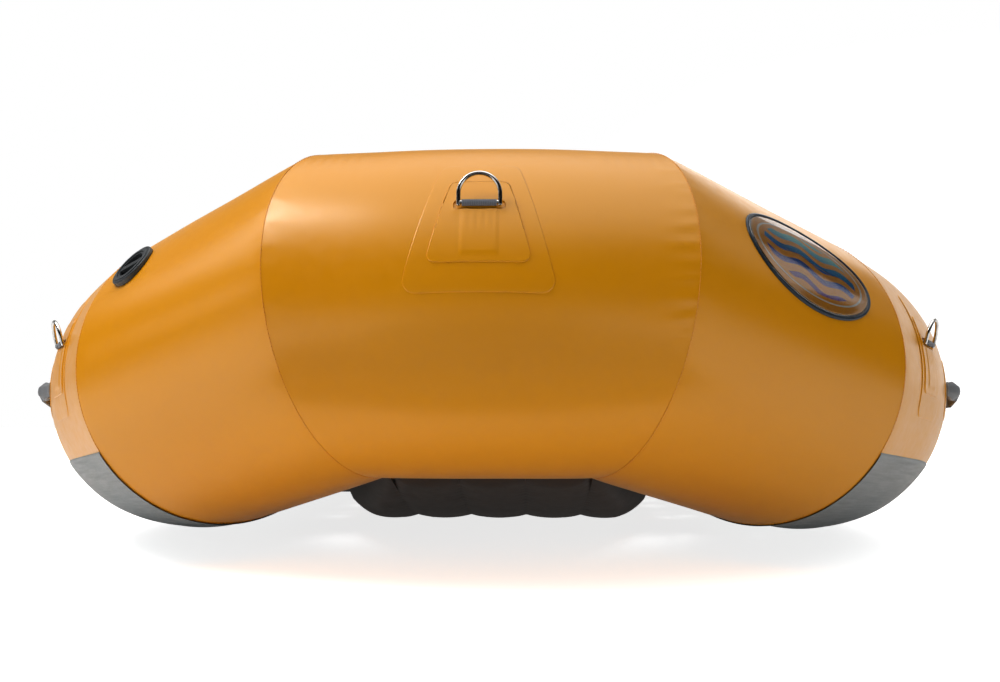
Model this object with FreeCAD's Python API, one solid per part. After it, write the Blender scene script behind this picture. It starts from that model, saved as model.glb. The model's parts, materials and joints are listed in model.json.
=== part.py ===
import FreeCAD, Part
import math
import os

os.makedirs("parts", exist_ok=True)
V = FreeCAD.Vector

# An inflatable self-bailing river raft, millimetres.
# The bow points to -Y and +Z is up. Left and right are as seen from in front of the bow, so right is +X.
# The origin is on the ground under the middle of the boat.

# ---------------------------------------------------------------- driving dimensions
TUBE_R = 265.0                # hull tube, outer radius
SKIN = 1.5                    # hull fabric thickness
LENGTH = 4060.0               # over the hull tubes
SIDE_X = 675.0                # side tube axis, from the centre line
CHAFE_T = 2.0                 # chafe strip thickness
CHAFE_FLAT = 1.2              # how much the strip is pressed flat where it lies on the ground
CHAFE_EDGE_ANGLE = 34.0       # the strip's upper edge, degrees below the tube's widest line

# The tube's centre line from the bow's middle to the side: across, aft of the bow's middle, and up
SIDE_Z = TUBE_R + CHAFE_T - CHAFE_FLAT
BOW_END = (209.0, 23.0, SIDE_Z + 157.2)
ANGLED_END = (486.0, 215.0, SIDE_Z + 65.2)
KICK_CORNER = (675.0, 525.0, SIDE_Z + 38.0)
KICK_END = (675.0, 802.0, SIDE_Z)
KICK_BEND_TANGENT = 200.0     # from the corner to where the bend begins
RISE_BEND_TANGENT = 75.0
KICK_PANEL_END = 890.0        # where the kick panel meets the side panel
BOW_STUB = 75.0               # straight run beside each bow seam
BAFFLE_AFT = 90.0             # baffle, aft of the seam along the kick

# Floor
FLOOR_PITCH = 125.0
FLOOR_CHAMBERS = 5
FLOOR_CROWN = 60.0            # half thickness at a chamber's crown
FLOOR_SCALLOP = 8.0           # how much thinner it is at a web
OUTER_CROWN_AT = 0.45         # the outer chamber's crown, in pitches from its web
SHOULDER_AT = 0.86
SHOULDER_HIGH = 50.0          # half thickness at the shoulder
FLOOR_HALF_WIDTH = 335.0
FLOOR_LOW = 20.0              # the flat bottom's height over the ground
FLOOR_FLAT_END = 908.0        # aft of the bow's middle
FLOOR_BEND_R = 1460.0         # at the floor's middle surface
FLOOR_RAMP = 14.0             # degrees
FLOOR_NOSE = 262.0            # the floor's front edge, aft of the bow's middle
FLOOR_TAPER_AFT = 700.0       # where the floor starts to narrow towards the bow
FLOOR_NOSE_HALF = 205.0
FLOOR_SKIN = 1.2
FLANGE_T = 2.0
DRAIN_PITCH = 200.0
DRAIN_LONG = 70.0
DRAIN_WIDE = 32.0
DRAIN_CORNER = 12.0
DRAIN_X = 405.0               # the drain slots' line, from the centre line
FLANGE_HALF = 560.0           # half width of the sheet before the hull trims it
FLANGE_NOSE_HALF = 300.0
FLANGE_NOSE_AFT = 120.0       # the sheet's front edge before the hull trims it
WEB_WALL_T = 1.2              # the floor's inner walls
BAFFLE_T = 1.2

# Thwarts
THWART_R = 140.0
THWART_Y = 560.0
THWART_Z = 300.0
THWART_SKIN = 1.2
COLLAR_T = 1.5
COLLAR_WIDE = 40.0
COLLAR_SLEEVE = 300.0         # the sleeve's end, from the side tube's axis

# D-rings and their patches
RING_WIRE_R = 3.25
RING_WIDE = 66.0
RING_TALL = 49.0
RING_FOOT = 2.4               # how far each leg runs past the bar, before its round tip
BAR_HEIGHT = 7.4              # bar axis over the fabric
WEB_WIDE = 50.0
WEB_T = 1.0
PATCH_T = 1.2
COVER_T = 1.6
WEB_TAIL = 78.0               # how far the webbing runs down from the bar, under the cover patch
WEB_FOOT_T = 3.0              # the two plies between the loop and the tail
PATCH_LOW = -110.0            # base patch edges, up the tube from the patch's middle
PATCH_HIGH = 113.0
PATCH_CORNER = 18.0
BOW_PATCH_HALVES = (112.0, 55.0)      # half widths of the lower and the upper edge
SIDE_PATCH_HALVES = (72.0, 48.0)
COVER_REACH = 70.0            # cover patch, up and down from the middle
COVER_CORNER = 12.0
BOW_COVER_HALVES = (76.0, 42.0)
SIDE_COVER_HALVES = (52.0, 42.0)
SLIT_HALF_LONG = 37.0
SLIT_HALF_WIDE = 8.0
SLIT_CORNER = 6.0
BAR_FIT = 0.05                # radial clearance of the bar in its loop
BAR_UP_FROM_PATCH = 4.6       # degrees, from the patch's middle
BOW_PATCH_ANGLE = 26.0        # the patch's middle, degrees above the tube's widest line
SIDE_PATCH_ANGLE = 9.5
BOW_RING_LEAN = 90.0          # the way the ring points at rest, degrees above level
SIDE_RING_LEAN = 76.0
SIDE_RING_AFT = 130.0         # aft of the seam along the kick

# Handles
HANDLE_AFT = 372.0            # middle of the handle, along the kick
HANDLE_LONG = 216.0
HANDLE_WIDE = 38.0
HANDLE_TALL = 28.0
HANDLE_CORNER = 7.0
HANDLE_TAPER = 32.0           # length of each sloped end
GRIP_LONG = 120.0
GRIP_GAP = 14.0
HANDLE_PATCH_LONG = 280.0
HANDLE_PATCH_WIDE = 110.0
HANDLE_PATCH_CORNER = 30.0
HANDLE_SINK = 12.0            # how far the moulding runs on below the tube before it is trimmed

# Badge
BADGE_ALONG = 180.0           # along the angled panel from the bow seam
BADGE_ANGLE = 28.0
BADGE_LONG = 282.0
BADGE_TALL = 166.0
BADGE_TILT = 5.6              # degrees, outer end down
BADGE_RIM = 6.0
BADGE_BASE_T = 1.0
BADGE_RIM_T = 3.2
BADGE_DOME_T = 2.6

# Valves
END_VALVE_ALONG = 294.0       # bow and stern valves, along the angled panel from the bow seam
END_VALVE_ANGLE = 39.6
SIDE_VALVE_Y = 230.0
SIDE_VALVE_ANGLE = 50.0       # above level, on the inboard side
FLOOR_VALVE_Y = 800.0
THWART_VALVE_X = 240.0
THWART_VALVE_ANGLE = 60.0     # above level, towards the middle of the boat
VALVE_FLANGE_R = 43.0
VALVE_BARREL_R = 33.0
LOOSE_FIT = 0.1               # radial clearance of rings and discs that drop into each other
WALL_HOLE_FIT = 0.5           # the same, in the wall
VALVE_TOP = 6.5
VALVE_RIM_TOP = 8.0
VALVE_DEPTH = 38.0
CAP_R = 29.9
CAP_SEAT_R = 30.0
CAP_PLUG_R = 26.9
VALVE_THROAT_R = 27.0
CAP_LOW = -2.0
CAP_PLUG_LOW = -6.0
CAP_GRIP = 11.0
CAP_EDGE = 1.2                # rounding of the cap's and the rim's edges
CAP_WALL = 4.0                # the cap's edge around the finger recesses
RIM_INSET = 6.0               # the raised rim, in from the flange's edge
LUG_R = 28.5                  # bayonet lugs and the groove they turn in
LUG_LOW = -5.5
LUG_TOP = -4.0
LUG_FIT = 0.2
LUG_WIDE = 9.0
STEM_R = 2.0
STEM_FIT = 0.08
BUTTON_R = 7.0
BUTTON_TOP = -11.0
BUTTON_LOW = -14.0
SPIDER_TOP = -21.0
SPIDER_LOW = -24.0
SPIDER_ARM = 3.0
SEAT_TOP = -30.0
SEAT_LOW = -34.0
SEAT_R = 20.0
SEAT_LEDGE = 3.0              # clear space round the poppet
POPPET_R = 23.0
POPPET_T = 3.0
GASKET_T = 1.2
NUT_R = 44.0
NUT_TOP = -10.5
NUT_TALL = 9.0
NUT_NOTCH = 9.0
NUT_EXTRA_DROP = 3.0          # on the tighter curve of a thwart or the floor
SPRING_R = 4.2
SPRING_WIRE_R = 0.4
SPRING_TURNS = 3
RELIEF_SCALE = 0.62           # the relief valve against an inflation valve
HOOD_T = 2.5
HOOD_TOP = 16.0
HOOD_SLOT_WIDE = 5.0
HOOD_SLOT_LOW = 6.5
HOOD_SLOT_TALL = 6.0
RELIEF_SEAT_TOP = -6.0
RELIEF_POPPET_T = 3.0
RELIEF_THROAT_R = 10.0
RELIEF_SPRING_R = 5.0
RELIEF_WIRE_R = 0.5
RELIEF_TURNS = 5

HULL_GAP = 0.3                # between the hull and what is fitted to it
FAR = 4000.0


# ---------------------------------------------------------------- points and frames
def hull_point(spec, side, end):
    """A centre line point. side is +1 or -1 across, end is -1 at the bow and +1 at the stern."""
    across, aft, up = spec
    return V(side * across, end * (LENGTH / 2 - TUBE_R - aft), up)


def unit(vector):
    result = V(vector)
    result.normalize()
    return result


def rotate_to(shape, origin, along, outward):
    """Moves a shape made with x along, z outward at the origin to its real place."""
    x_axis = unit(along)
    z_axis = unit(outward)
    y_axis = z_axis.cross(x_axis)
    placed = shape.copy()
    matrix = FreeCAD.Matrix(
        x_axis.x, y_axis.x, z_axis.x, origin.x,
        x_axis.y, y_axis.y, z_axis.y, origin.y,
        x_axis.z, y_axis.z, z_axis.z, origin.z,
        0, 0, 0, 1)
    placed.transformShape(matrix)
    return placed


def half_space(point, normal):
    """A large block on the side of the plane that normal points to."""
    block = Part.makeBox(FAR, FAR, FAR, V(-FAR / 2, -FAR / 2, 0))
    helper = V(1, 0, 0) if abs(unit(normal).x) < 0.9 else V(0, 1, 0)
    along = helper - unit(normal) * helper.dot(unit(normal))
    return rotate_to(block, point, along, normal)


# ---------------------------------------------------------------- tubes along straight runs and arcs
def rounded_runs(points, tangents):
    """Straight runs and tangent arcs through points. tangents gives each inner corner's setback."""
    runs = []
    start = points[0]
    for corner, after, setback in zip(points[1:-1], points[2:], tangents):
        back = unit(corner - start)
        ahead = unit(after - corner)
        turn = back.getAngle(ahead)
        bend_from = corner - back * setback
        bend_to = corner + ahead * setback
        axis = unit(back.cross(ahead))
        radius = setback / math.tan(turn / 2)
        centre = bend_from + axis.cross(back) * radius
        runs.append(("line", start, bend_from))
        runs.append(("arc", bend_from, back, centre, axis, math.degrees(turn)))
        start = bend_to
    runs.append(("line", start, points[-1]))
    return runs


def tube(runs, radius):
    """A solid round tube along runs."""
    pieces = []
    for run in runs:
        if run[0] == "line":
            span = run[2] - run[1]
            pieces.append(Part.makeCylinder(radius, span.Length, run[1], span))
        else:
            disc = Part.Face(Part.Wire(Part.Edge(Part.Circle(run[1], run[2], radius))))
            pieces.append(disc.revolve(run[3], run[4], run[5]))
    if len(pieces) == 1:
        return pieces[0]
    return pieces[0].fuse(pieces[1:]).removeSplitter()


def layer(runs, inside, outside):
    """The sheet between two radii along runs."""
    return tube(runs, outside).cut(tube(runs, inside))


def point_along(runs, distance):
    """Where a distance along the runs falls: the centre line point and the direction there."""
    for run in runs:
        if run[0] == "line":
            length = (run[2] - run[1]).Length
            if distance <= length or run is runs[-1]:
                ahead = unit(run[2] - run[1])
                return run[1] + ahead * distance, ahead
        else:
            arm = run[1] - run[3]
            length = arm.Length * math.radians(run[5])
            if distance <= length:
                turn = FreeCAD.Rotation(run[4], math.degrees(distance / arm.Length))
                return run[3] + turn.multVec(arm), turn.multVec(run[2])
        distance -= length
    raise ValueError("past the end of the runs")


def outward_at(ahead, outboard, angle):
    """The tube's outward normal at an angle above its widest line, on the outboard side."""
    level = unit(outboard - ahead * outboard.dot(ahead))
    level = unit(V(level.x, level.y, 0))
    level = unit(level - ahead * level.dot(ahead))
    upright = unit(V(0, 0, 1) - ahead * ahead.z)
    radians = math.radians(angle)
    return level * math.cos(radians) + upright * math.sin(radians)


# ---------------------------------------------------------------- the hull's centre line
OVER = 130.0                  # runs go this far past a seam before it cuts them


def bow_centre_runs(end):
    """The bow's centre panel: an arc with a straight stub at each end, level, and past both seams."""
    across, aft, up = BOW_END
    low, high = 1.0, 20.0
    for _ in range(50):
        half = (low + high) / 2
        radius = (across - BOW_STUB * math.cos(math.radians(half))) / math.sin(math.radians(half))
        reach = radius * (1 - math.cos(math.radians(half))) + BOW_STUB * math.sin(math.radians(half))
        if reach < aft:
            low = half
        else:
            high = half
    slope = math.radians(half)
    drawn_back = radius * (1 - math.cos(slope))
    corner = V(-radius * math.sin(slope), end * (LENGTH / 2 - TUBE_R - drawn_back), up)
    ahead = V(math.cos(slope), end * math.sin(slope), 0)
    centre = V(0, end * (LENGTH / 2 - TUBE_R - radius), up)
    far_corner = V(-corner.x, corner.y, up)
    away = V(math.cos(slope), -end * math.sin(slope), 0)
    stub = BOW_STUB + OVER
    return [
        ("line", corner - ahead * stub, corner),
        ("arc", corner, ahead, centre, V(0, 0, -end), 2 * half),
        ("line", far_corner, far_corner + away * stub),
    ]


def seam_plane(before, corner, after):
    """A mitre: the plane that halves the corner between two directions."""
    return corner, unit(unit(corner - before) + unit(after - corner))


def bow_seam(side, end):
    centre_runs = bow_centre_runs(end)
    corner = hull_point(BOW_END, side, end)
    inner = centre_runs[0][2] if side < 0 else centre_runs[2][1]
    return seam_plane(inner, corner, hull_point(ANGLED_END, side, end))


def kick_seam(side, end):
    return seam_plane(hull_point(BOW_END, side, end), hull_point(ANGLED_END, side, end),
                      hull_point(KICK_CORNER, side, end))


def angled_runs(side, end):
    start = hull_point(BOW_END, side, end)
    stop = hull_point(ANGLED_END, side, end)
    ahead = unit(stop - start)
    return [("line", start - ahead * OVER, stop + ahead * OVER)]


def kick_runs(side, end, lead=0.0):
    """From the kick's seam to the side panel. lead starts it before the seam."""
    start = hull_point(ANGLED_END, side, end)
    corner = hull_point(KICK_CORNER, side, end)
    start = start - unit(corner - start) * lead
    stop = hull_point((SIDE_X, KICK_PANEL_END, SIDE_Z), side, end)
    return rounded_runs([start, corner, hull_point(KICK_END, side, end), stop],
                        [KICK_BEND_TANGENT, RISE_BEND_TANGENT])


def side_runs(side):
    reach = LENGTH / 2 - TUBE_R - KICK_PANEL_END
    return [("line", V(side * SIDE_X, -reach, SIDE_Z), V(side * SIDE_X, reach, SIDE_Z))]


def trimmed(shape, planes):
    """Keeps what lies on the side of each plane that its normal points to."""
    for point, normal in planes:
        shape = shape.common(half_space(point, normal))
    return shape


def opposite(plane):
    return plane[0], plane[1] * -1


def bow_centre(end, inside, outside):
    return trimmed(layer(bow_centre_runs(end), inside, outside),
                   [opposite(bow_seam(-1, end)), opposite(bow_seam(1, end))])


def angled(side, end, inside, outside):
    return trimmed(layer(angled_runs(side, end), inside, outside),
                   [bow_seam(side, end), opposite(kick_seam(side, end))])


def kick(side, end, inside, outside):
    return trimmed(layer(kick_runs(side, end, OVER), inside, outside), [kick_seam(side, end)])


def bend_middle(side, end):
    """The plane across the middle of the kick's bend, where its two gores meet."""
    runs = kick_runs(side, end)
    straight = (runs[0][2] - runs[0][1]).Length
    bend = (runs[1][1] - runs[1][3]).Length * math.radians(runs[1][5])
    return point_along(runs, straight + bend / 2)


def split(shape, plane):
    return [shape.common(half_space(*plane)), shape.common(half_space(*opposite(plane)))]


def side_tube(side, inside, outside):
    return layer(side_runs(side), inside, outside)


def hull_solid(radius):
    """The whole hull as solid tubes, to trim what meets it."""
    pieces = [tube(side_runs(side), radius) for side in (-1, 1)]
    for end in (-1, 1):
        centre = trimmed(tube(bow_centre_runs(end), radius),
                         [opposite(bow_seam(-1, end)), opposite(bow_seam(1, end))])
        pieces.append(centre)
        for side in (-1, 1):
            pieces.append(trimmed(tube(angled_runs(side, end), radius),
                                  [bow_seam(side, end), opposite(kick_seam(side, end))]))
            pieces.append(trimmed(tube(kick_runs(side, end, OVER), radius), [kick_seam(side, end)]))
    return pieces


# ---------------------------------------------------------------- outlines
def rounded_outline(corners, radius):
    """A closed wire through corners, each rounded by an arc."""
    points = [V(x, y, 0) for x, y in corners]
    edges = []
    count = len(points)
    starts = []
    for i in range(count):
        here = points[i]
        back = unit(points[i - 1] - here)
        ahead = unit(points[(i + 1) % count] - here)
        half_turn = back.getAngle(ahead) / 2
        setback = radius / math.tan(half_turn)
        towards_middle = unit(back + ahead)
        centre = here + towards_middle * (radius / math.sin(half_turn))
        middle = centre - towards_middle * radius
        starts.append((here + back * setback, middle, here + ahead * setback))
    for i in range(count):
        first, middle, last = starts[i]
        edges.append(Part.Arc(first, middle, last).toShape())
        edges.append(Part.LineSegment(last, starts[(i + 1) % count][0]).toShape())
    return Part.Wire(edges)


def rectangle(x, y, half_x, half_y, radius):
    """A rounded rectangle about a point."""
    low, high = y - half_y, y + half_y
    corners = [(x - half_x, low), (x + half_x, low), (x + half_x, high), (x - half_x, high)]
    return rounded_outline(corners, radius)


def prism(wire, low, high):
    face = Part.Face(wire)
    face.translate(V(0, 0, low))
    return face.extrude(V(0, 0, high - low))


def ring_solid(outer, inner, low, high):
    height = high - low
    base = V(0, 0, low)
    return Part.makeCylinder(outer, height, base).cut(Part.makeCylinder(inner, height, base))


def disc(radius, low, high):
    return Part.makeCylinder(radius, high - low, V(0, 0, low))


def ellipse_prism(half_long, half_tall):
    """An upright block of oval outline, deep enough to cut through the tube's near side."""
    ellipse = Part.Ellipse(V(0, 0, -TUBE_R / 2), half_long, half_tall)
    return Part.Face(Part.Wire(ellipse.toShape())).extrude(V(0, 0, TUBE_R))


# ---------------------------------------------------------------- sites on the hull
class Site:
    """A place on a hull tube's surface: where it is, the way along the tube, and outward."""

    def __init__(self, name, runs, distance, outboard, angle, on_end=False):
        self.name = name
        self.runs = runs
        self.on_end = on_end
        self.centre, self.along = point_along(runs, distance)
        self.outward = outward_at(self.along, outboard, angle)
        self.origin = self.centre + self.outward * TUBE_R

    def place(self, shape):
        return rotate_to(shape, self.origin, self.along, self.outward)


def bow_site(end, angle):
    runs = bow_centre_runs(end)
    middle = BOW_STUB + OVER + (runs[1][1] - runs[1][3]).Length * math.radians(runs[1][5]) / 2
    name = "bow" if end < 0 else "stern"
    return Site(name, runs, middle, V(0, end, 0), angle, on_end=True)


def kick_site(side, end, distance, angle):
    ends = "front" if end < 0 else "rear"
    sides = "left" if side < 0 else "right"
    return Site(f"{sides}_{ends}", kick_runs(side, end), distance, V(side, 0, 0), angle)


def middle_site(side, angle):
    runs = side_runs(side)
    half = (runs[0][2] - runs[0][1]).Length / 2
    sides = "left" if side < 0 else "right"
    return Site(f"{sides}_middle", runs, half, V(side, 0, 0), angle)


def ring_sites():
    sites = [bow_site(-1, BOW_PATCH_ANGLE), bow_site(1, BOW_PATCH_ANGLE)]
    for side in (-1, 1):
        for end in (-1, 1):
            sites.append(kick_site(side, end, SIDE_RING_AFT, SIDE_PATCH_ANGLE))
        sites.append(middle_site(side, SIDE_PATCH_ANGLE))
    return sites


def up_sign(site):
    """+1 where the site's own y axis points up the tube, or -1."""
    y_axis = site.outward.cross(site.along)
    return 1.0 if y_axis.z > 0 else -1.0


# ---------------------------------------------------------------- rings and patches
def bar_frame(site):
    """The ring's bar: its middle, its direction, and the surface normal under it."""
    turn = FreeCAD.Rotation(site.along, -BAR_UP_FROM_PATCH * up_sign(site))
    normal = turn.multVec(site.outward)
    return site.centre + normal * (TUBE_R + BAR_HEIGHT), site.along, normal


def ring_direction(site):
    """The way the ring points from its bar at rest."""
    lean = BOW_RING_LEAN if site.on_end else SIDE_RING_LEAN
    level = unit(V(site.outward.x, site.outward.y, 0))
    radians = math.radians(lean)
    pointing = level * math.cos(radians) + V(0, 0, 1) * math.sin(radians)
    return unit(pointing - site.along * pointing.dot(site.along))


def d_ring(site):
    """Bent round bar: a straight bar, two legs and a half round."""
    half = RING_WIDE / 2 - RING_WIRE_R
    leg = RING_TALL - 2 * RING_WIRE_R - half
    bar = Part.makeCylinder(RING_WIRE_R, 2 * half, V(-half, 0, 0), V(1, 0, 0))
    legs = [Part.makeCylinder(RING_WIRE_R, leg + RING_FOOT, V(x, 0, -RING_FOOT)) for x in (-half, half)]
    wire = Part.Face(Part.Wire(Part.Edge(Part.Circle(V(half, 0, leg), V(0, 0, 1), RING_WIRE_R))))
    bow = wire.revolve(V(0, 0, leg), V(0, -1, 0), 180)
    tips = [Part.makeSphere(RING_WIRE_R, V(x, 0, -RING_FOOT)) for x in (-half, half)]
    ring = bar.fuse(legs + tips + [bow]).removeSplitter()
    middle, along, _ = bar_frame(site)
    return rotate_to(ring, middle, along, ring_direction(site))


def webbing(site):
    """A loop round the bar, with a tail that runs down under the cover patch."""
    middle, along, normal = bar_frame(site)
    bore = RING_WIRE_R + BAR_FIT
    half = WEB_WIDE / 2
    outer = Part.makeCylinder(bore + WEB_T, WEB_WIDE, V(-half, 0, 0), V(1, 0, 0))
    hole = Part.makeCylinder(bore, WEB_WIDE, V(-half, 0, 0), V(1, 0, 0))
    drop = BAR_HEIGHT - PATCH_T - WEB_T / 2
    foot = Part.makeBox(WEB_WIDE, WEB_FOOT_T, drop, V(-half, -WEB_FOOT_T / 2, -drop))
    loop = rotate_to(outer.fuse(foot).cut(hole), middle, along, normal)
    tail_sheet = layer(site.runs, TUBE_R + PATCH_T, TUBE_R + PATCH_T + WEB_T)
    down = -up_sign(site)
    bar_y = TUBE_R * math.sin(math.radians(BAR_UP_FROM_PATCH)) * up_sign(site)
    low, high = sorted((bar_y - WEB_FOOT_T / 2 * down, bar_y + WEB_TAIL * down))
    tail_zone = Part.makeBox(WEB_WIDE, high - low, TUBE_R, V(-half, low, -TUBE_R / 2))
    tail = tail_sheet.common(site.place(tail_zone))
    return loop.fuse(tail).removeSplitter()


def patch_outline(site, halves, low, high, corner):
    """A rounded trapezoid, wider towards the ground."""
    low_half, high_half = halves
    up = up_sign(site)
    if up > 0:
        points = [(-low_half, low), (low_half, low), (high_half, high), (-high_half, high)]
    else:
        points = [(-high_half, -high), (high_half, -high), (low_half, -low), (-low_half, -low)]
    return rounded_outline(points, corner)


def base_patch(site):
    sheet = layer(site.runs, TUBE_R, TUBE_R + PATCH_T)
    halves = BOW_PATCH_HALVES if site.on_end else SIDE_PATCH_HALVES
    outline = patch_outline(site, halves, PATCH_LOW, PATCH_HIGH, PATCH_CORNER)
    return sheet.common(site.place(prism(outline, -TUBE_R / 2, TUBE_R / 2)))


def cover_patch(site, web):
    sheet = layer(site.runs, TUBE_R + PATCH_T, TUBE_R + PATCH_T + COVER_T)
    halves = BOW_COVER_HALVES if site.on_end else SIDE_COVER_HALVES
    outline = patch_outline(site, halves, -COVER_REACH, COVER_REACH, COVER_CORNER)
    bar_y = TUBE_R * math.sin(math.radians(BAR_UP_FROM_PATCH)) * up_sign(site)
    slit = rectangle(0, bar_y, SLIT_HALF_LONG, SLIT_HALF_WIDE, SLIT_CORNER)
    zone = prism(outline, -TUBE_R / 2, TUBE_R / 2).cut(prism(slit, -TUBE_R / 2, TUBE_R / 2))
    return sheet.common(site.place(zone)).cut(web)


# ---------------------------------------------------------------- handles
def handle_sites():
    return [kick_site(side, end, HANDLE_AFT, 0.0) for side in (-1, 1) for end in (-1, 1)]


def handle_patch(site):
    outline = rectangle(0, 0, HANDLE_PATCH_LONG / 2, HANDLE_PATCH_WIDE / 2, HANDLE_PATCH_CORNER)
    sheet = layer(site.runs, TUBE_R, TUBE_R + PATCH_T)
    return sheet.common(site.place(prism(outline, -TUBE_R / 2, TUBE_R / 2)))


def carry_handle(site):
    """A moulded grip, rounded triangle in section, with two sloped feet and a finger gap between them."""
    half = HANDLE_LONG / 2
    wide = HANDLE_WIDE / 2
    ridge = HANDLE_TALL + HANDLE_CORNER
    profile = rounded_outline([(-wide, -HANDLE_SINK), (wide, -HANDLE_SINK), (0.0, ridge)], HANDLE_CORNER)
    block = rotate_to(prism(profile, -half, half), V(0, 0, 0), V(0, 1, 0), V(1, 0, 0))
    gap = Part.makeBox(GRIP_LONG, 2 * HANDLE_WIDE, GRIP_GAP + HANDLE_SINK,
                       V(-GRIP_LONG / 2, -HANDLE_WIDE, -HANDLE_SINK))
    block = block.cut(gap)
    for sign in (-1, 1):
        block = block.cut(half_space(V(sign * half, 0, 0), V(sign * HANDLE_TALL, 0, HANDLE_TAPER)))
    return site.place(block).cut(tube(site.runs, TUBE_R + PATCH_T))


# ---------------------------------------------------------------- badge
def badge_site():
    runs = angled_runs(1, -1)
    return Site("badge", runs, OVER + BADGE_ALONG, V(1, -1, 0), BADGE_ANGLE)


def badge_piece(site, low, high, outer_inset, inner_inset=None):
    sheet = layer(site.runs, TUBE_R + low, TUBE_R + high)
    zone = ellipse_prism(BADGE_LONG / 2 - outer_inset, BADGE_TALL / 2 - outer_inset)
    if inner_inset is not None:
        zone = zone.cut(ellipse_prism(BADGE_LONG / 2 - inner_inset, BADGE_TALL / 2 - inner_inset))
    zone.rotate(V(0, 0, 0), V(0, 0, 1), -BADGE_TILT * up_sign(site))
    return sheet.common(site.place(zone))


# ---------------------------------------------------------------- floor
def floor_profile(inset):
    """The floor's cross-section about its middle surface: scalloped above and below, round at the edges."""
    web_x = [FLOOR_PITCH * (i - (FLOOR_CHAMBERS - 2) / 2) for i in range(FLOOR_CHAMBERS - 1)]
    cusp = FLOOR_CROWN - FLOOR_SCALLOP - inset
    crown = FLOOR_CROWN - inset
    outer_crown_x = web_x[-1] + OUTER_CROWN_AT * FLOOR_PITCH
    shoulder_x = web_x[-1] + SHOULDER_AT * FLOOR_PITCH
    shoulder = SHOULDER_HIGH - inset
    edge = FLOOR_HALF_WIDTH - inset

    def half(sign):
        """The arcs of the upper (+1) or lower (-1) side, from the first web to the right shoulder."""
        arcs = []
        valley, top = sign * cusp, sign * crown
        for left, right in zip(web_x, web_x[1:]):
            arcs.append((V(left, 0, valley), V((left + right) / 2, 0, top), V(right, 0, valley)))
        arcs.append((V(web_x[-1], 0, valley), V(outer_crown_x, 0, top), V(shoulder_x, 0, sign * shoulder)))
        return arcs

    def flipped(points):
        return [V(-p.x, 0, p.z) for p in points]

    edge_arc = (V(shoulder_x, 0, -shoulder), V(edge, 0, 0), V(shoulder_x, 0, shoulder))
    bottom = half(-1)
    top = half(1)
    arcs = bottom + top + [edge_arc, flipped(bottom[-1]), flipped(top[-1]), flipped(edge_arc)]
    edges = [Part.Arc(*points).toShape() for points in arcs]
    return Part.Wire(Part.__sortEdges__(edges))


FLOOR_MID = FLOOR_LOW + FLOOR_CROWN
FLAT_HALF = LENGTH / 2 - TUBE_R - FLOOR_FLAT_END


def floor_sweep(face):
    """Takes a face drawn across the boat at its middle along the flat floor and up both ramps."""
    flat = face.copy()
    flat.translate(V(0, -FLAT_HALF, FLOOR_MID))
    pieces = [flat.extrude(V(0, 2 * FLAT_HALF, 0))]
    for end in (-1, 1):
        start = face.copy()
        start.translate(V(0, end * FLAT_HALF, FLOOR_MID))
        centre = V(0, end * FLAT_HALF, FLOOR_MID + FLOOR_BEND_R)
        bend = start.revolve(centre, V(end, 0, 0), FLOOR_RAMP)
        ramp_start = start.copy()
        ramp_start.rotate(centre, V(end, 0, 0), FLOOR_RAMP)
        slope = math.radians(FLOOR_RAMP)
        ramp = ramp_start.extrude(V(0, end * math.cos(slope), math.sin(slope)) * FLAT_HALF)
        pieces += [bend, ramp]
    return pieces[0].fuse(pieces[1:]).removeSplitter()


def eight_sided(half, wide, nose_half, nose):
    """A tall block, parallel in the middle and tapered towards both ends, seen from above."""
    starboard = [(nose_half, -nose), (half, -wide), (half, wide), (nose_half, nose)]
    loop = [V(x, y, -FLOOR_MID) for x, y in starboard]
    loop += [V(-x, y, -FLOOR_MID) for x, y in reversed(starboard)]
    return Part.Face(Part.makePolygon(loop + loop[:1])).extrude(V(0, 0, FAR / 4))


def floor_plan(inset):
    """The floor's outline from above, as a tall block."""
    nose = LENGTH / 2 - TUBE_R - FLOOR_NOSE - inset
    wide = LENGTH / 2 - TUBE_R - FLOOR_TAPER_AFT
    return eight_sided(FLOOR_HALF_WIDTH + FLOOR_CROWN, wide, FLOOR_NOSE_HALF - inset, nose)


def floor_body(inset):
    return floor_sweep(Part.Face(floor_profile(inset))).common(floor_plan(inset))


def floor_lengths(skin):
    """The flat length and the two ramps, which are welded across the floor."""
    bow_plane = (V(0, -FLAT_HALF, 0), V(0, 1, 0))
    stern_plane = (V(0, FLAT_HALF, 0), V(0, 1, 0))
    rest, bow_ramp = split(skin, bow_plane)
    stern_ramp, flat = split(rest, stern_plane)
    return [bow_ramp, flat, stern_ramp]


def upright_rectangle(x, half_x, half_z):
    """A rectangular face across the boat, about the floor's middle surface."""
    low, high = x - half_x, x + half_x
    corners = [V(low, 0, -half_z), V(high, 0, -half_z), V(high, 0, half_z), V(low, 0, half_z)]
    return Part.Face(Part.makePolygon(corners + corners[:1]))


def floor_webs(cavity):
    webs = []
    for i in range(FLOOR_CHAMBERS - 1):
        x = FLOOR_PITCH * (i - (FLOOR_CHAMBERS - 2) / 2)
        wall = floor_sweep(upright_rectangle(x, WEB_WALL_T / 2, FLOOR_CROWN))
        webs.append(wall.common(cavity))
    return webs


def drain_slots(side):
    """The row of slots beside the floor's flat length."""
    count = int(2 * FLAT_HALF / DRAIN_PITCH)
    slots = []
    for i in range(count):
        y = DRAIN_PITCH * (i - (count - 1) / 2)
        outline = rectangle(side * DRAIN_X, y, DRAIN_WIDE / 2, DRAIN_LONG / 2, DRAIN_CORNER)
        slots.append(prism(outline, FLOOR_MID - FLANGE_T, FLOOR_MID + FLANGE_T))
    return slots


def across(shape):
    """The same shape on the boat's other side."""
    return shape.mirror(V(0, 0, 0), V(1, 0, 0))


def astern(shape):
    """The same shape at the boat's other end."""
    return shape.mirror(V(0, 0, 0), V(0, 1, 0))


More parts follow.
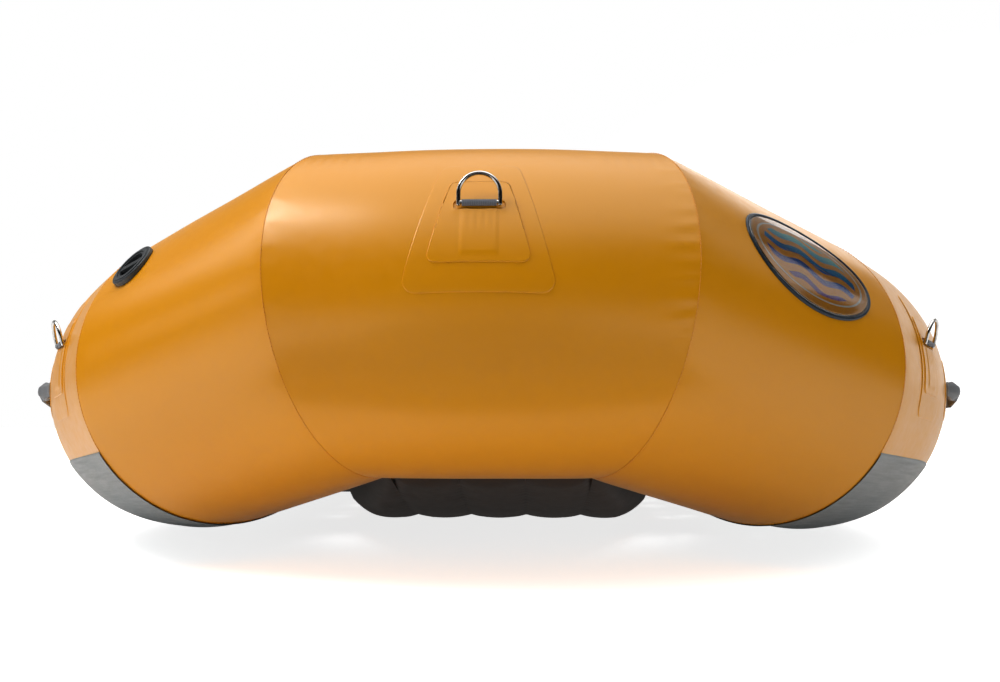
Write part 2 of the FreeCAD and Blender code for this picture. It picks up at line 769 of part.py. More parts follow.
def floor_flange(floor, neighbours):
    """A flat sheet from the floor's middle height to the hull, with drain slots, in eight lengths."""
    sheet = floor_sweep(upright_rectangle(0, FLANGE_HALF, FLANGE_T / 2))
    reach = LENGTH / 2 - TUBE_R - FLANGE_NOSE_AFT
    sheet = sheet.common(eight_sided(FLANGE_HALF, FLAT_HALF, FLANGE_NOSE_HALF, reach))
    sheet = sheet.cut(floor)
    for piece in neighbours + drain_slots(-1) + drain_slots(1):
        sheet = sheet.cut(piece)
    nose = LENGTH / 2 - TUBE_R - FLOOR_NOSE - FLOOR_SKIN
    high = FAR / 4
    flat = sheet.common(Part.makeBox(FLANGE_HALF, 2 * FLAT_HALF, high, V(0, -FLAT_HALF, 0)))
    ramp = sheet.common(Part.makeBox(FLANGE_HALF, nose - FLAT_HALF, high, V(0, -nose, 0)))
    tip = sheet.common(Part.makeBox(2 * FLANGE_HALF, reach - nose, high, V(-FLANGE_HALF, -reach, 0)))
    return [flat, across(flat), ramp, across(ramp), astern(ramp), across(astern(ramp)), tip, astern(tip)]


# ---------------------------------------------------------------- thwarts
def thwart(end):
    start = V(-SIDE_X, end * THWART_Y, THWART_Z)

    def filled(radius, hull_radius):
        bar = Part.makeCylinder(radius, 2 * SIDE_X, start, V(1, 0, 0))
        for side in (-1, 1):
            bar = bar.cut(tube(side_runs(side), hull_radius))
        return bar

    hull_radius = TUBE_R + HULL_GAP
    return filled(THWART_R, hull_radius).cut(filled(THWART_R - THWART_SKIN, hull_radius + THWART_SKIN))


def thwart_collar(side, end):
    centre = V(side * SIDE_X, end * THWART_Y, THWART_Z)
    inward = V(-side, 0, 0)
    wide_ring = Part.makeCylinder(THWART_R + COLLAR_WIDE, SIDE_X, centre, inward)
    bore = Part.makeCylinder(THWART_R, SIDE_X, centre, inward)
    flange = side_tube(side, TUBE_R, TUBE_R + COLLAR_T).common(wide_ring).cut(bore)
    sleeve = Part.makeCylinder(THWART_R + COLLAR_T, COLLAR_SLEEVE, centre, inward).cut(bore)
    sleeve = sleeve.cut(tube(side_runs(side), TUBE_R))
    return flange.fuse(sleeve).removeSplitter()


# ---------------------------------------------------------------- valves
class ValveSite:
    """A valve's place on a round wall: where its axis leaves the wall, and the wall's radius and axis."""

    def __init__(self, name, wall_point, wall_axis, wall_r, outward):
        self.name = name
        self.wall_point = wall_point
        self.along = unit(wall_axis)
        self.wall_r = wall_r
        self.outward = unit(outward - self.along * outward.dot(self.along))
        self.origin = wall_point + self.outward * wall_r

    def place(self, shape):
        return rotate_to(shape, self.origin, self.along, self.outward)

    def wall(self, extra):
        """The wall's own round body, extra larger, in the valve's frame."""
        start = V(-2 * VALVE_FLANGE_R, 0, -self.wall_r)
        return Part.makeCylinder(self.wall_r + extra, 4 * VALVE_FLANGE_R, start, V(1, 0, 0))


def floor_valve_site(name, y):
    """On the crown of the floor's middle chamber."""
    crown_r = (FLOOR_PITCH ** 2 / 4 + FLOOR_SCALLOP ** 2) / (2 * FLOOR_SCALLOP)
    crown_z = FLOOR_MID + FLOOR_CROWN - crown_r
    return ValveSite(name, V(0, y, crown_z), V(0, 1, 0), crown_r, V(0, 0, 1))


def valve_sites():
    sites = []
    for sign, name in ((-1, "bow"), (1, "stern")):
        centre, along = point_along(angled_runs(sign, sign), OVER + END_VALVE_ALONG)
        outward = outward_at(along, V(sign, sign, 0), END_VALVE_ANGLE)
        sites.append(ValveSite(name, centre, along, TUBE_R, outward))
    lift = math.radians(SIDE_VALVE_ANGLE)
    for side, name in ((-1, "left"), (1, "right")):
        inboard = V(-side * math.cos(lift), 0, math.sin(lift))
        centre = V(side * SIDE_X, side * SIDE_VALVE_Y, SIDE_Z)
        sites.append(ValveSite(name, centre, V(0, 1, 0), TUBE_R, inboard))
    sites.append(floor_valve_site("floor", FLOOR_VALVE_Y))
    lift = math.radians(THWART_VALVE_ANGLE)
    for end, name in ((-1, "front_thwart"), (1, "rear_thwart")):
        outward = V(0, -end * math.cos(lift), math.sin(lift))
        centre = V(THWART_VALVE_X * end, end * THWART_Y, THWART_Z)
        sites.append(ValveSite(name, centre, V(1, 0, 0), THWART_R, outward))
    return sites


def valve_hole(site, radius):
    return site.place(disc(radius, -VALVE_DEPTH, VALVE_DEPTH))


def round_top(solid, radius):
    """Rounds the highest round edge of a disc."""
    top = max(solid.Edges, key=lambda edge: (edge.BoundBox.ZMin, edge.BoundBox.XLength))
    return solid.makeFillet(radius, [top])


def valve_body(site):
    """Flange, barrel, cap seat, bayonet groove, throat, guide spider and poppet seat, in one moulding."""
    flange = round_top(disc(VALVE_FLANGE_R, -VALVE_DEPTH / 2, VALVE_TOP), 2 * CAP_EDGE)
    flange = flange.cut(site.wall(GASKET_T))
    barrel = disc(VALVE_BARREL_R, -VALVE_DEPTH, VALVE_TOP)
    rim = round_top(disc(VALVE_FLANGE_R - RIM_INSET, 2 * GASKET_T, VALVE_RIM_TOP), CAP_EDGE)
    body = flange.fuse([barrel, rim])
    body = body.cut(disc(CAP_SEAT_R, CAP_LOW - LUG_FIT / 2, VALVE_RIM_TOP))
    body = body.cut(disc(VALVE_THROAT_R, SEAT_TOP, CAP_LOW))
    body = body.cut(disc(LUG_R + LUG_FIT, LUG_LOW - LUG_FIT, LUG_TOP + LUG_FIT))
    gate = LUG_WIDE + 4 * LUG_FIT
    reach = LUG_R + LUG_FIT
    entry = Part.makeBox(gate, 2 * reach, CAP_LOW - LUG_LOW, V(-gate / 2, -reach, LUG_LOW))
    body = body.cut(entry)
    body = body.cut(disc(SEAT_R, SEAT_LOW, SEAT_TOP))
    body = body.cut(disc(POPPET_R + SEAT_LEDGE, -VALVE_DEPTH, SEAT_LOW))
    spider = [disc(2 * STEM_R + SPIDER_ARM / 2, SPIDER_LOW, SPIDER_TOP)]
    for turn in (0, 120, 240):
        arm = Part.makeBox(VALVE_THROAT_R + 1.0, SPIDER_ARM, SPIDER_TOP - SPIDER_LOW,
                           V(0, -SPIDER_ARM / 2, SPIDER_LOW))
        arm.rotate(V(0, 0, 0), V(0, 0, 1), turn)
        spider.append(arm)
    body = body.fuse(spider)
    body = body.cut(disc(STEM_R + STEM_FIT, SPIDER_LOW, SPIDER_TOP)).removeSplitter()
    return site.place(body)


def valve_gasket(site):
    sheet = site.wall(GASKET_T).cut(site.wall(0))
    ring = ring_solid(VALVE_FLANGE_R - GASKET_T, VALVE_BARREL_R + LOOSE_FIT, -VALVE_DEPTH, VALVE_DEPTH)
    return site.place(sheet.common(ring))


def valve_nut(site):
    """The lock nut inside the skin, lower on a tighter curve."""
    top = NUT_TOP if site.wall_r >= TUBE_R else NUT_TOP - NUT_EXTRA_DROP
    nut = ring_solid(NUT_R, VALVE_BARREL_R + LOOSE_FIT, top - NUT_TALL, top)
    notches = []
    for turn in range(0, 360, 60):
        notch = Part.makeBox(NUT_NOTCH, NUT_NOTCH, NUT_TALL,
                             V(NUT_R - NUT_NOTCH / 2, -NUT_NOTCH / 2, top - 1.5 * NUT_TALL))
        notch.rotate(V(0, 0, 0), V(0, 0, 1), turn)
        notches.append(notch)
    return site.place(nut.cut(notches[0].fuse(notches[1:])))


def valve_cap(site):
    """A bayonet cap: a bar grip between two finger recesses, a grooved plug and two lugs."""
    cap = round_top(disc(CAP_R, CAP_LOW, VALVE_TOP), CAP_EDGE)
    plug = disc(CAP_PLUG_R, CAP_PLUG_LOW, CAP_LOW)
    lug_bar = Part.makeBox(2 * LUG_R, LUG_WIDE, LUG_TOP - LUG_LOW, V(-LUG_R, -LUG_WIDE / 2, LUG_LOW))
    lugs = lug_bar.common(disc(LUG_R, LUG_LOW, LUG_TOP))
    recess = disc(CAP_R - CAP_WALL, 0, VALVE_TOP)
    grip = Part.makeBox(2 * CAP_R, CAP_GRIP, VALVE_TOP, V(-CAP_R, -CAP_GRIP / 2, 0))
    recess = recess.cut(grip)
    return site.place(cap.fuse([plug, lugs]).cut(recess).removeSplitter())


def valve_plunger(site):
    """The push button, its stem and the poppet that closes the seat from inside."""
    button = disc(BUTTON_R, BUTTON_LOW, BUTTON_TOP)
    stem = disc(STEM_R, SEAT_LOW - POPPET_T, BUTTON_LOW)
    poppet = disc(POPPET_R, SEAT_LOW - POPPET_T, SEAT_LOW)
    return site.place(button.fuse([stem, poppet]).removeSplitter())


def coil_spring(low, high, radius, wire, turns):
    """A round wire wound up, drawn with eight flats that keep the round wire's sectional area."""
    pitch = (high - low - 2 * wire) / turns
    helix = Part.makeHelix(pitch, pitch * turns, radius)
    corner_r = wire * math.sqrt(math.pi / (2 * math.sqrt(2)))
    corners = []
    for corner in range(8):
        angle = math.radians(45 * corner + 22.5)
        corners.append(V(radius + corner_r * math.cos(angle), 0, corner_r * math.sin(angle)))
    section = Part.makePolygon(corners + corners[:1])
    coil = Part.Wire(helix.Edges).makePipeShell([section], True, True)
    coil.translate(V(0, 0, low + wire))
    return coil


def valve_spring(site):
    return site.place(coil_spring(SPIDER_TOP, BUTTON_LOW, SPRING_R, SPRING_WIRE_R, SPRING_TURNS))


def relief_body(site):
    """A small barrel under a slotted hood."""
    barrel_r = VALVE_BARREL_R * RELIEF_SCALE
    hood_r = barrel_r - HOOD_T
    roof = HOOD_TOP - HOOD_T
    flange = disc(VALVE_FLANGE_R * RELIEF_SCALE, RELIEF_SEAT_TOP, VALVE_TOP * RELIEF_SCALE)
    flange = flange.cut(site.wall(HULL_GAP))
    body = flange.fuse(disc(barrel_r, -VALVE_DEPTH * RELIEF_SCALE, HOOD_TOP))
    body = body.cut(disc(hood_r, RELIEF_SEAT_TOP, roof))
    body = body.cut(disc(RELIEF_THROAT_R, -VALVE_DEPTH * RELIEF_SCALE, RELIEF_SEAT_TOP))
    slots = []
    for turn in range(0, 360, 45):
        slot = Part.makeBox(VALVE_FLANGE_R, HOOD_SLOT_WIDE, HOOD_SLOT_TALL,
                            V(hood_r / 2, -HOOD_SLOT_WIDE / 2, HOOD_SLOT_LOW))
        slot.rotate(V(0, 0, 0), V(0, 0, 1), turn)
        slots.append(slot)
    return site.place(body.cut(slots[0].fuse(slots[1:])).removeSplitter())


def relief_poppet(site):
    """A disc that covers the throat and lifts when the floor is too full."""
    top = RELIEF_SEAT_TOP + RELIEF_POPPET_T
    plate = disc(RELIEF_THROAT_R + RELIEF_POPPET_T, RELIEF_SEAT_TOP, top)
    knob = disc(RELIEF_POPPET_T, top, top + RELIEF_POPPET_T)
    return site.place(plate.fuse(knob).removeSplitter())


def relief_spring(site):
    low = RELIEF_SEAT_TOP + RELIEF_POPPET_T
    high = HOOD_TOP - HOOD_T
    return site.place(coil_spring(low, high, RELIEF_SPRING_R, RELIEF_WIRE_R, RELIEF_TURNS))


# ---------------------------------------------------------------- chafe strips and baffles
def chafe_zone(side, end):
    """Below the strip's upper edge, which follows the tube's height along the kick."""
    drop = (TUBE_R + CHAFE_T) * math.sin(math.radians(CHAFE_EDGE_ANGLE))
    line = [ANGLED_END, KICK_CORNER, KICK_END]
    points = [V(-FAR / 2, 0, SIDE_Z - drop)]
    for _, aft, up in reversed(line):
        points.append(V(-FAR / 2, end * (LENGTH / 2 - TUBE_R - aft), up - drop))
    first, second = points[-1], points[-2]
    reach = first + (first - second) * 2.0
    points.append(reach)
    points.append(V(-FAR / 2, reach.y, 0))
    points.append(V(-FAR / 2, 0, 0))
    return Part.Face(Part.makePolygon(points + points[:1])).extrude(V(FAR, 0, 0))


def chafe_strip(side):
    zones = {end: chafe_zone(side, end) for end in (-1, 1)}
    lengths = []
    for end in (-1, 1):
        gores = kick(side, end, TUBE_R, TUBE_R + CHAFE_T).common(zones[end])
        lengths += split(gores, bend_middle(side, end))
    straight = side_tube(side, TUBE_R, TUBE_R + CHAFE_T)
    lengths.append(straight.common(zones[-1].fuse(zones[1])))
    return lengths


def baffle(side, end):
    centre, ahead = point_along(kick_runs(side, end), BAFFLE_AFT)
    return Part.makeCylinder(TUBE_R - SKIN - LOOSE_FIT, BAFFLE_T, centre, ahead)


# ---------------------------------------------------------------- export
def export(name, shapes):
    """Writes one node. Several solids in one node stay separate."""
    if not isinstance(shapes, list):
        shapes = [shapes]
    solids = [solid for shape in shapes for solid in shape.Solids]
    shape = solids[0] if len(solids) == 1 else Part.makeCompound(solids)
    shape.exportStep(f"parts/{name}.step")
    print(f"{name}: {len(solids)} solids, {shape.Volume / 1000:.1f} cm3, valid {shape.isValid()}")


valves = valve_sites()
relief = floor_valve_site("relief", -FLOOR_VALVE_Y)
valve_at = {site.name: site for site in valves}
HOLE_R = VALVE_BARREL_R + WALL_HOLE_FIT
STRIPS = {side: chafe_strip(side) for side in (-1, 1)}

for end, word in ((-1, "bow"), (1, "stern")):
    export(f"{word}_centre_panel", bow_centre(end, TUBE_R - SKIN, TUBE_R))
    for side, hand in ((-1, "left"), (1, "right")):
        panel = angled(side, end, TUBE_R - SKIN, TUBE_R)
        if side == end:
            panel = panel.cut(valve_hole(valve_at[word], HOLE_R))
        export(f"{word}_{hand}_panel", panel)
        export(f"{hand}_{word}_kick_panel",
               split(kick(side, end, TUBE_R - SKIN, TUBE_R), bend_middle(side, end)))
for side, hand in ((-1, "left"), (1, "right")):
    panel = side_tube(side, TUBE_R - SKIN, TUBE_R)
    export(f"{hand}_side_panel", panel.cut(valve_hole(valve_at[hand], HOLE_R)))
    export(f"{hand}_chafe_strip", STRIPS[side])
export("chamber_baffles", [baffle(side, end) for side in (-1, 1) for end in (-1, 1)])

hull = hull_solid(TUBE_R + HULL_GAP)
floor = floor_body(0)
cavity = floor_body(FLOOR_SKIN)
for near, far in zip(hull, hull_solid(TUBE_R + HULL_GAP + FLOOR_SKIN)):
    floor = floor.cut(near)
    cavity = cavity.cut(far)
floor_skin = floor.cut(cavity).cut(valve_hole(valve_at["floor"], HOLE_R))
floor_skin = floor_skin.cut(valve_hole(relief, VALVE_BARREL_R * RELIEF_SCALE + WALL_HOLE_FIT))
export("floor_skin", floor_lengths(floor_skin))
export("floor_webs", floor_webs(cavity))
export("floor_flange", floor_flange(floor, hull + STRIPS[-1] + STRIPS[1]))

for end, word in ((-1, "front"), (1, "rear")):
    site = valve_at[f"{word}_thwart"]
    export(f"{word}_thwart", thwart(end).cut(valve_hole(site, HOLE_R)))
export("thwart_collars", [thwart_collar(side, end) for side in (-1, 1) for end in (-1, 1)])

webs = []
bases = []
covers = []
for site in ring_sites():
    web = webbing(site)
    webs.append(web)
    bases.append(base_patch(site))
    covers.append(cover_patch(site, web))
    export(f"{site.name}_d_ring", d_ring(site))
export("ring_webbing", webs)
export("ring_base_patches", bases)
export("ring_cover_patches", covers)

export("carry_handles", [carry_handle(site) for site in handle_sites()])
export("handle_patches", [handle_patch(site) for site in handle_sites()])

badge = badge_site()
export("badge_plate", badge_piece(badge, 0, BADGE_BASE_T, BADGE_RIM + LOOSE_FIT))
export("badge_rim", badge_piece(badge, 0, BADGE_RIM_T, 0, BADGE_RIM))
export("badge_dome", badge_piece(badge, BADGE_BASE_T, BADGE_DOME_T, BADGE_RIM + LOOSE_FIT))

export("valve_bodies", [valve_body(site) for site in valves])
export("valve_gaskets", [valve_gasket(site) for site in valves])
export("valve_nuts", [valve_nut(site) for site in valves])
export("valve_springs", [valve_spring(site) for site in valves])
for site in valves:
    export(f"{site.name}_valve_cap", valve_cap(site))
    export(f"{site.name}_valve_plunger", valve_plunger(site))
export("relief_valve_body", relief_body(relief))
export("relief_valve_poppet", relief_poppet(relief))
export("relief_valve_spring", relief_spring(relief))

# The joints' places: each ring's bar and each valve's axis
for site in ring_sites():
    print("ring", site.name, *[[round(c, 5) for c in vector] for vector in bar_frame(site)])
for site in valves + [relief]:
    print("valve", site.name, *[[round(c, 5) for c in vector] for vector in (site.origin, site.outward)])
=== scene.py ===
import json
import math

import bpy
import numpy as np
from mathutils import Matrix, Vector

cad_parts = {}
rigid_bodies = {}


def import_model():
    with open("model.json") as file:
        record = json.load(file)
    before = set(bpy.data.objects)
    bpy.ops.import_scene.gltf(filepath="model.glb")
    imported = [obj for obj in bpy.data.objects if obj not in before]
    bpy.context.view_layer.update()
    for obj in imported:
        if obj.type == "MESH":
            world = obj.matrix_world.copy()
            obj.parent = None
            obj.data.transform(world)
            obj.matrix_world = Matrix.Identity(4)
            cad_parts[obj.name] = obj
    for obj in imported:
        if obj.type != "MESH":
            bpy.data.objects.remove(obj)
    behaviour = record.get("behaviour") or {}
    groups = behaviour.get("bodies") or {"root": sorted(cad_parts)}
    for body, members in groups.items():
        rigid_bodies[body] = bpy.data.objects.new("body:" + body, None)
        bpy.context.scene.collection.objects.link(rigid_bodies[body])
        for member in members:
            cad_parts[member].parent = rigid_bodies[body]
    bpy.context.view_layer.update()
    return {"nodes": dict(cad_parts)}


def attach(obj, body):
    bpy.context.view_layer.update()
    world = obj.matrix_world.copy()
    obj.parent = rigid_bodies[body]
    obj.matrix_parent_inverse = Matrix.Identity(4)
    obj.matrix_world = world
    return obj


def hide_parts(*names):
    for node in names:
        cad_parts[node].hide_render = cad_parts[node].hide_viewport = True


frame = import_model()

# ---- the boat's dimensions, metres
TUBE_R = 0.265
LENGTH = 4.060
SIDE_X = 0.675
CHAFE_T = 0.002
CHAFE_FLAT = 0.0012
CHAFE_EDGE_ANGLE = 34.0
SIDE_Z = TUBE_R + CHAFE_T - CHAFE_FLAT
END_Y = LENGTH / 2 - TUBE_R
BOW_STUB = 0.075
OVER = 0.130
FLOOR_PITCH = 0.125
FLOOR_CROWN = 0.060
FLOOR_SCALLOP = 0.008
FLOOR_HALF = 0.335
FLOOR_MID = 0.080
FLAT_HALF = END_Y - 0.908
FLOOR_BEND_R = 1.460
FLOOR_RAMP = math.radians(14.0)
FLOOR_NOSE = END_Y - 0.262
FLOOR_TAPER = END_Y - 0.700
FLOOR_NOSE_HALF = 0.205
THWART_R = 0.140
THWART_Y = 0.560
THWART_Z = 0.300
COLLAR_SLEEVE = 0.300
BAR_UP = math.radians(4.6)
BAR_HEIGHT = 0.0074
WIRE_R = 0.00325
PATCH_T = 0.0012
COVER_T = 0.0016
TAPE_HALF = 0.019
TAPE_T = 0.0010
TAPE_UNDER = math.radians(-140)
SEAM_WITHIN = 0.30       # a seam's cut crosses a tube within this distance of its path's end
BADGE_LONG = 0.141
BADGE_TALL = 0.083
BADGE_TILT = math.radians(5.6)
HANDS = ((-1, "left"), (1, "right"))
FAR_ENDS = ((-1, "bow"), (1, "stern"))
QUARTERS = ((-1, "front"), (1, "rear"))


def hull_point(across, aft, up):
    """A centre line point at the bow's right quarter, which the others mirror."""
    return np.array([across, -(END_Y - aft), up])


BOW_END = hull_point(0.209, 0.023, SIDE_Z + 0.1572)
ANGLED_END = hull_point(0.486, 0.215, SIDE_Z + 0.0652)
KICK_CORNER = hull_point(0.675, 0.525, SIDE_Z + 0.038)
KICK_END = hull_point(0.675, 0.802, SIDE_Z)
KICK_STOP = hull_point(0.675, 0.890, SIDE_Z)
UP = np.array([0.0, 0.0, 1.0])
EAST = np.array([1.0, 0.0, 0.0])
NORTH = np.array([0.0, -1.0, 0.0])


def unit(v):
    v = np.asarray(v, float)
    return v / np.linalg.norm(v, axis=-1, keepdims=True)


def stacked(*parts):
    """Arrays spread to one shape and stacked along a new last axis."""
    return np.stack(np.broadcast_arrays(*parts), -1)


OBLIQUE = unit([1, -1, 0])


# ---- tube paths
class Path:
    """A tube's centre line, sampled every millimetre, with its direction."""

    def __init__(self, points, ahead):
        self.points = points
        self.ahead = ahead
        steps = np.linalg.norm(np.diff(points, axis=0), axis=1)
        self.s = np.concatenate([[0.0], np.cumsum(steps)])
        self.length = self.s[-1]

    def at(self, s):
        centre = np.stack([np.interp(s, self.s, self.points[:, k]) for k in range(3)], -1)
        ahead = np.stack([np.interp(s, self.s, self.ahead[:, k]) for k in range(3)], -1)
        return centre, unit(ahead)


def straight(start, stop):
    count = max(2, int(np.linalg.norm(stop - start) / 0.002))
    t = np.linspace(0, 1, count)[:, None]
    return start + (stop - start) * t, np.repeat(unit(stop - start)[None], count, 0)


def arc(start, ahead, centre, axis, angle):
    count = max(3, int(abs(angle) * np.linalg.norm(start - centre) / 0.001))
    t = np.linspace(0, angle, count)[:, None]
    arm = start - centre
    turned = [arm * np.cos(t) + np.cross(axis, arm) * np.sin(t),
              ahead * np.cos(t) + np.cross(axis, ahead) * np.sin(t)]
    return centre + turned[0], turned[1]


def joined(parts):
    points = np.concatenate([parts[0][0]] + [p[0][1:] for p in parts[1:]])
    ahead = np.concatenate([parts[0][1]] + [p[1][1:] for p in parts[1:]])
    return Path(points, ahead)


def rounded(points, setbacks):
    """Straight runs between points, each corner an arc that starts its setback before it."""
    parts = []
    start = points[0]
    for corner, after, setback in zip(points[1:-1], points[2:], setbacks):
        back = unit(corner - start)
        ahead = unit(after - corner)
        turn = math.acos(float(np.clip(back @ ahead, -1, 1)))
        axis = unit(np.cross(back, ahead))
        radius = setback / math.tan(turn / 2)
        bend_from = corner - back * setback
        parts.append(straight(start, bend_from))
        parts.append(arc(bend_from, back, bend_from + np.cross(axis, back) * radius, axis, turn))
        start = corner + ahead * setback
    parts.append(straight(start, points[-1]))
    return joined(parts)


def bow_path():
    """The bow's shallow arc between two straight stubs, its slope found so that it reaches BOW_END."""
    low, high = 1.0, 20.0
    for _ in range(50):
        half = (low + high) / 2
        slope = math.radians(half)
        radius = (BOW_END[0] - BOW_STUB * math.cos(slope)) / math.sin(slope)
        reach = radius * (1 - math.cos(slope)) + BOW_STUB * math.sin(slope)
        if reach < BOW_END[1] + END_Y:
            low = half
        else:
            high = half
    drawn = radius * (1 - math.cos(slope))
    corner = np.array([-radius * math.sin(slope), -END_Y + drawn, BOW_END[2]])
    ahead = np.array([math.cos(slope), -math.sin(slope), 0.0])
    centre = np.array([0.0, -END_Y + radius, BOW_END[2]])
    far = corner * [-1, 1, 1]
    away = ahead * [1, -1, 1]
    stub = BOW_STUB + OVER
    return joined([straight(corner - ahead * stub, corner), arc(corner, ahead, centre, UP, 2 * slope),
                   straight(far, far + away * stub)])


BOW_PATH = bow_path()
_along = unit(ANGLED_END - BOW_END)
ANGLED_PATH = joined([straight(BOW_END - _along * OVER, ANGLED_END + _along * OVER)])
_lead = unit(KICK_CORNER - ANGLED_END)
KICK_PATH = rounded([ANGLED_END - _lead * OVER, KICK_CORNER, KICK_END, KICK_STOP], [0.200, 0.075])
SIDE_REACH = END_Y - 0.890
SIDE_FRONT = np.array([SIDE_X, -SIDE_REACH, SIDE_Z])
SIDE_PATH = joined([straight(SIDE_FRONT, SIDE_FRONT * [1, -1, 1])])


def seam(before, corner, after):
    """A mitre plane: a point, and the direction it faces."""
    return corner, unit(unit(corner - before) + unit(after - corner))


_inner = BOW_END - BOW_PATH.ahead[-1] * BOW_STUB
BOW_SEAM = seam(_inner, BOW_END, ANGLED_END)
BOW_SEAM_LEFT = (BOW_SEAM[0] * [-1, 1, 1], BOW_SEAM[1] * [1, -1, -1])
KICK_SEAM = seam(BOW_END, ANGLED_END, KICK_CORNER)


def directions(ahead, outboard):
    """Level outboard and upright directions across a tube."""
    level = np.stack([ahead[..., 1], -ahead[..., 0], np.zeros(ahead.shape[:-1])], -1)
    level = unit(level)
    level = level * np.sign((level * outboard).sum(-1, keepdims=True))
    upright = unit(UP - ahead * ahead[..., 2:3])
    return level, upright


def on_tube(path, s, angle, radius, outboard):
    """Points on a tube, and the outward direction there. angle is in radians above the widest line."""
    centre, ahead = path.at(s)
    level, upright = directions(ahead, outboard)
    normal = level * np.cos(angle)[..., None] + upright * np.sin(angle)[..., None]
    return centre + normal * np.asarray(radius)[..., None], normal


def crossing(path, angle, plane, low, high, outboard):
    """Where each line along the tube's surface meets a plane."""
    low = np.full(angle.shape, low)
    high = np.full(angle.shape, high)
    for _ in range(40):
        mid = (low + high) / 2
        points, _n = on_tube(path, mid, angle, np.full(angle.shape, TUBE_R), outboard)
        before = ((points - plane[0]) * plane[1]).sum(-1) < 0
        low = np.where(before, mid, low)
        high = np.where(before, high, mid)
    return (low + high) / 2


# ---- smooth random numbers
def wander(x, y, seed, size):
    """Smooth noise of about -1 to 1 with features of the given size."""
    rng = np.random.default_rng(seed)
    total = np.zeros(np.broadcast(x, y).shape)
    for _ in range(6):
        angle = rng.uniform(0, 2 * math.pi)
        rate = 2 * math.pi / (size * rng.uniform(0.7, 1.5))
        total = total + np.sin((x * math.cos(angle) + y * math.sin(angle)) * rate + rng.uniform(0, 6.28))
    return total / 3.2


def smooth(x):
    x = np.clip(x, 0, 1)
    return x * x * (3 - 2 * x)


# ---- materials
class Nodes:
    """Short names for building a node tree."""

    def __init__(self, tree):
        self.tree = tree

    def add(self, kind, **settings):
        node = self.tree.nodes.new("ShaderNode" + kind)
        for key, value in settings.items():
            if key in node.inputs:
                node.inputs[key].default_value = value
            else:
                setattr(node, key, value)
        return node

    def link(self, out, into):
        self.tree.links.new(out, into)

    def noise(self, scale, detail=3.0, source=None, rough=0.5):
        node = self.add("TexNoise", Scale=scale, Detail=detail, Roughness=rough)
        self.link(source if source is not None else self.objects(), node.inputs["Vector"])
        return node.outputs["Fac"]

    def objects(self):
        return self.add("TexCoord").outputs["Object"]

    def uv(self):
        return self.add("TexCoord").outputs["UV"]

    def mapped(self, source, scale=(1, 1, 1), turn=0.0):
        node = self.add("Mapping")
        node.inputs["Scale"].default_value = scale
        node.inputs["Rotation"].default_value = (0, 0, turn)
        self.link(source, node.inputs["Vector"])
        return node.outputs["Vector"]

    def wave(self, source, scale, direction):
        node = self.add("TexWave", Scale=scale, bands_direction=direction)
        self.link(source, node.inputs["Vector"])
        return node.outputs["Fac"]

    def ramp(self, fac, stops):
        node = self.add("ValToRGB")
        while len(node.color_ramp.elements) < len(stops):
            node.color_ramp.elements.new(0.5)
        for element, (place, colour) in zip(node.color_ramp.elements, stops):
            element.position = place
            element.color = (*colour, 1)
        self.link(fac, node.inputs["Fac"])
        return node.outputs["Color"]

    def between(self, fac, low, high, to_low, to_high, kind="LINEAR"):
        node = self.add("MapRange", interpolation_type=kind)
        for key, value in (("From Min", low), ("From Max", high), ("To Min", to_low), ("To Max", to_high)):
            node.inputs[key].default_value = value
        self.link(fac, node.inputs["Value"])
        return node.outputs["Result"]

    def math(self, operation, a, b=None):
        node = self.add("Math", operation=operation)
        for socket, value in zip(node.inputs, (a, b)):
            if value is None:
                continue
            if isinstance(value, (int, float)):
                socket.default_value = value
            else:
                self.link(value, socket)
        return node.outputs["Value"]

    def mix(self, fac, a, b):
        node = self.add("Mix", data_type="RGBA")
        for socket, value in ((node.inputs[0], fac), (node.inputs[6], a), (node.inputs[7], b)):
            if isinstance(value, tuple):
                socket.default_value = (*value, 1)
            elif isinstance(value, (int, float)):
                socket.default_value = value
            else:
                self.link(value, socket)
        return node.outputs[2]

    def bump(self, height, distance, strength=1.0, after=None):
        node = self.add("Bump", Strength=strength, Distance=distance)
        self.link(height, node.inputs["Height"])
        if after is not None:
            self.link(after, node.inputs["Normal"])
        return node.outputs["Normal"]


class Maker(Nodes):
    """One node material."""

    def __init__(self, name):
        self.material = bpy.data.materials.new(name)
        self.material.use_nodes = True
        super().__init__(self.material.node_tree)
        self.shader = self.tree.nodes["Principled BSDF"]

    def set(self, **values):
        for key, value in values.items():
            self.shader.inputs[key.replace("_", " ")].default_value = value

    def finish(self, colour=None, rough=None, normal=None):
        for socket, out in (("Base Color", colour), ("Roughness", rough), ("Normal", normal)):
            if out is not None:
                self.link(out, self.shader.inputs[socket])
        return self.material


def wave_rate(pitch):
    """The wave texture's Scale for bands this far apart."""
    return math.pi / pitch / 10


def weave(m, pitch):
    """Two crossing sets of threads, from the mesh's own measure in metres."""
    source = m.mapped(m.uv(), turn=math.radians(45))
    warp = m.wave(source, wave_rate(pitch), "X")
    weft = m.wave(source, wave_rate(pitch), "Y")
    return m.math("MAXIMUM", warp, weft)


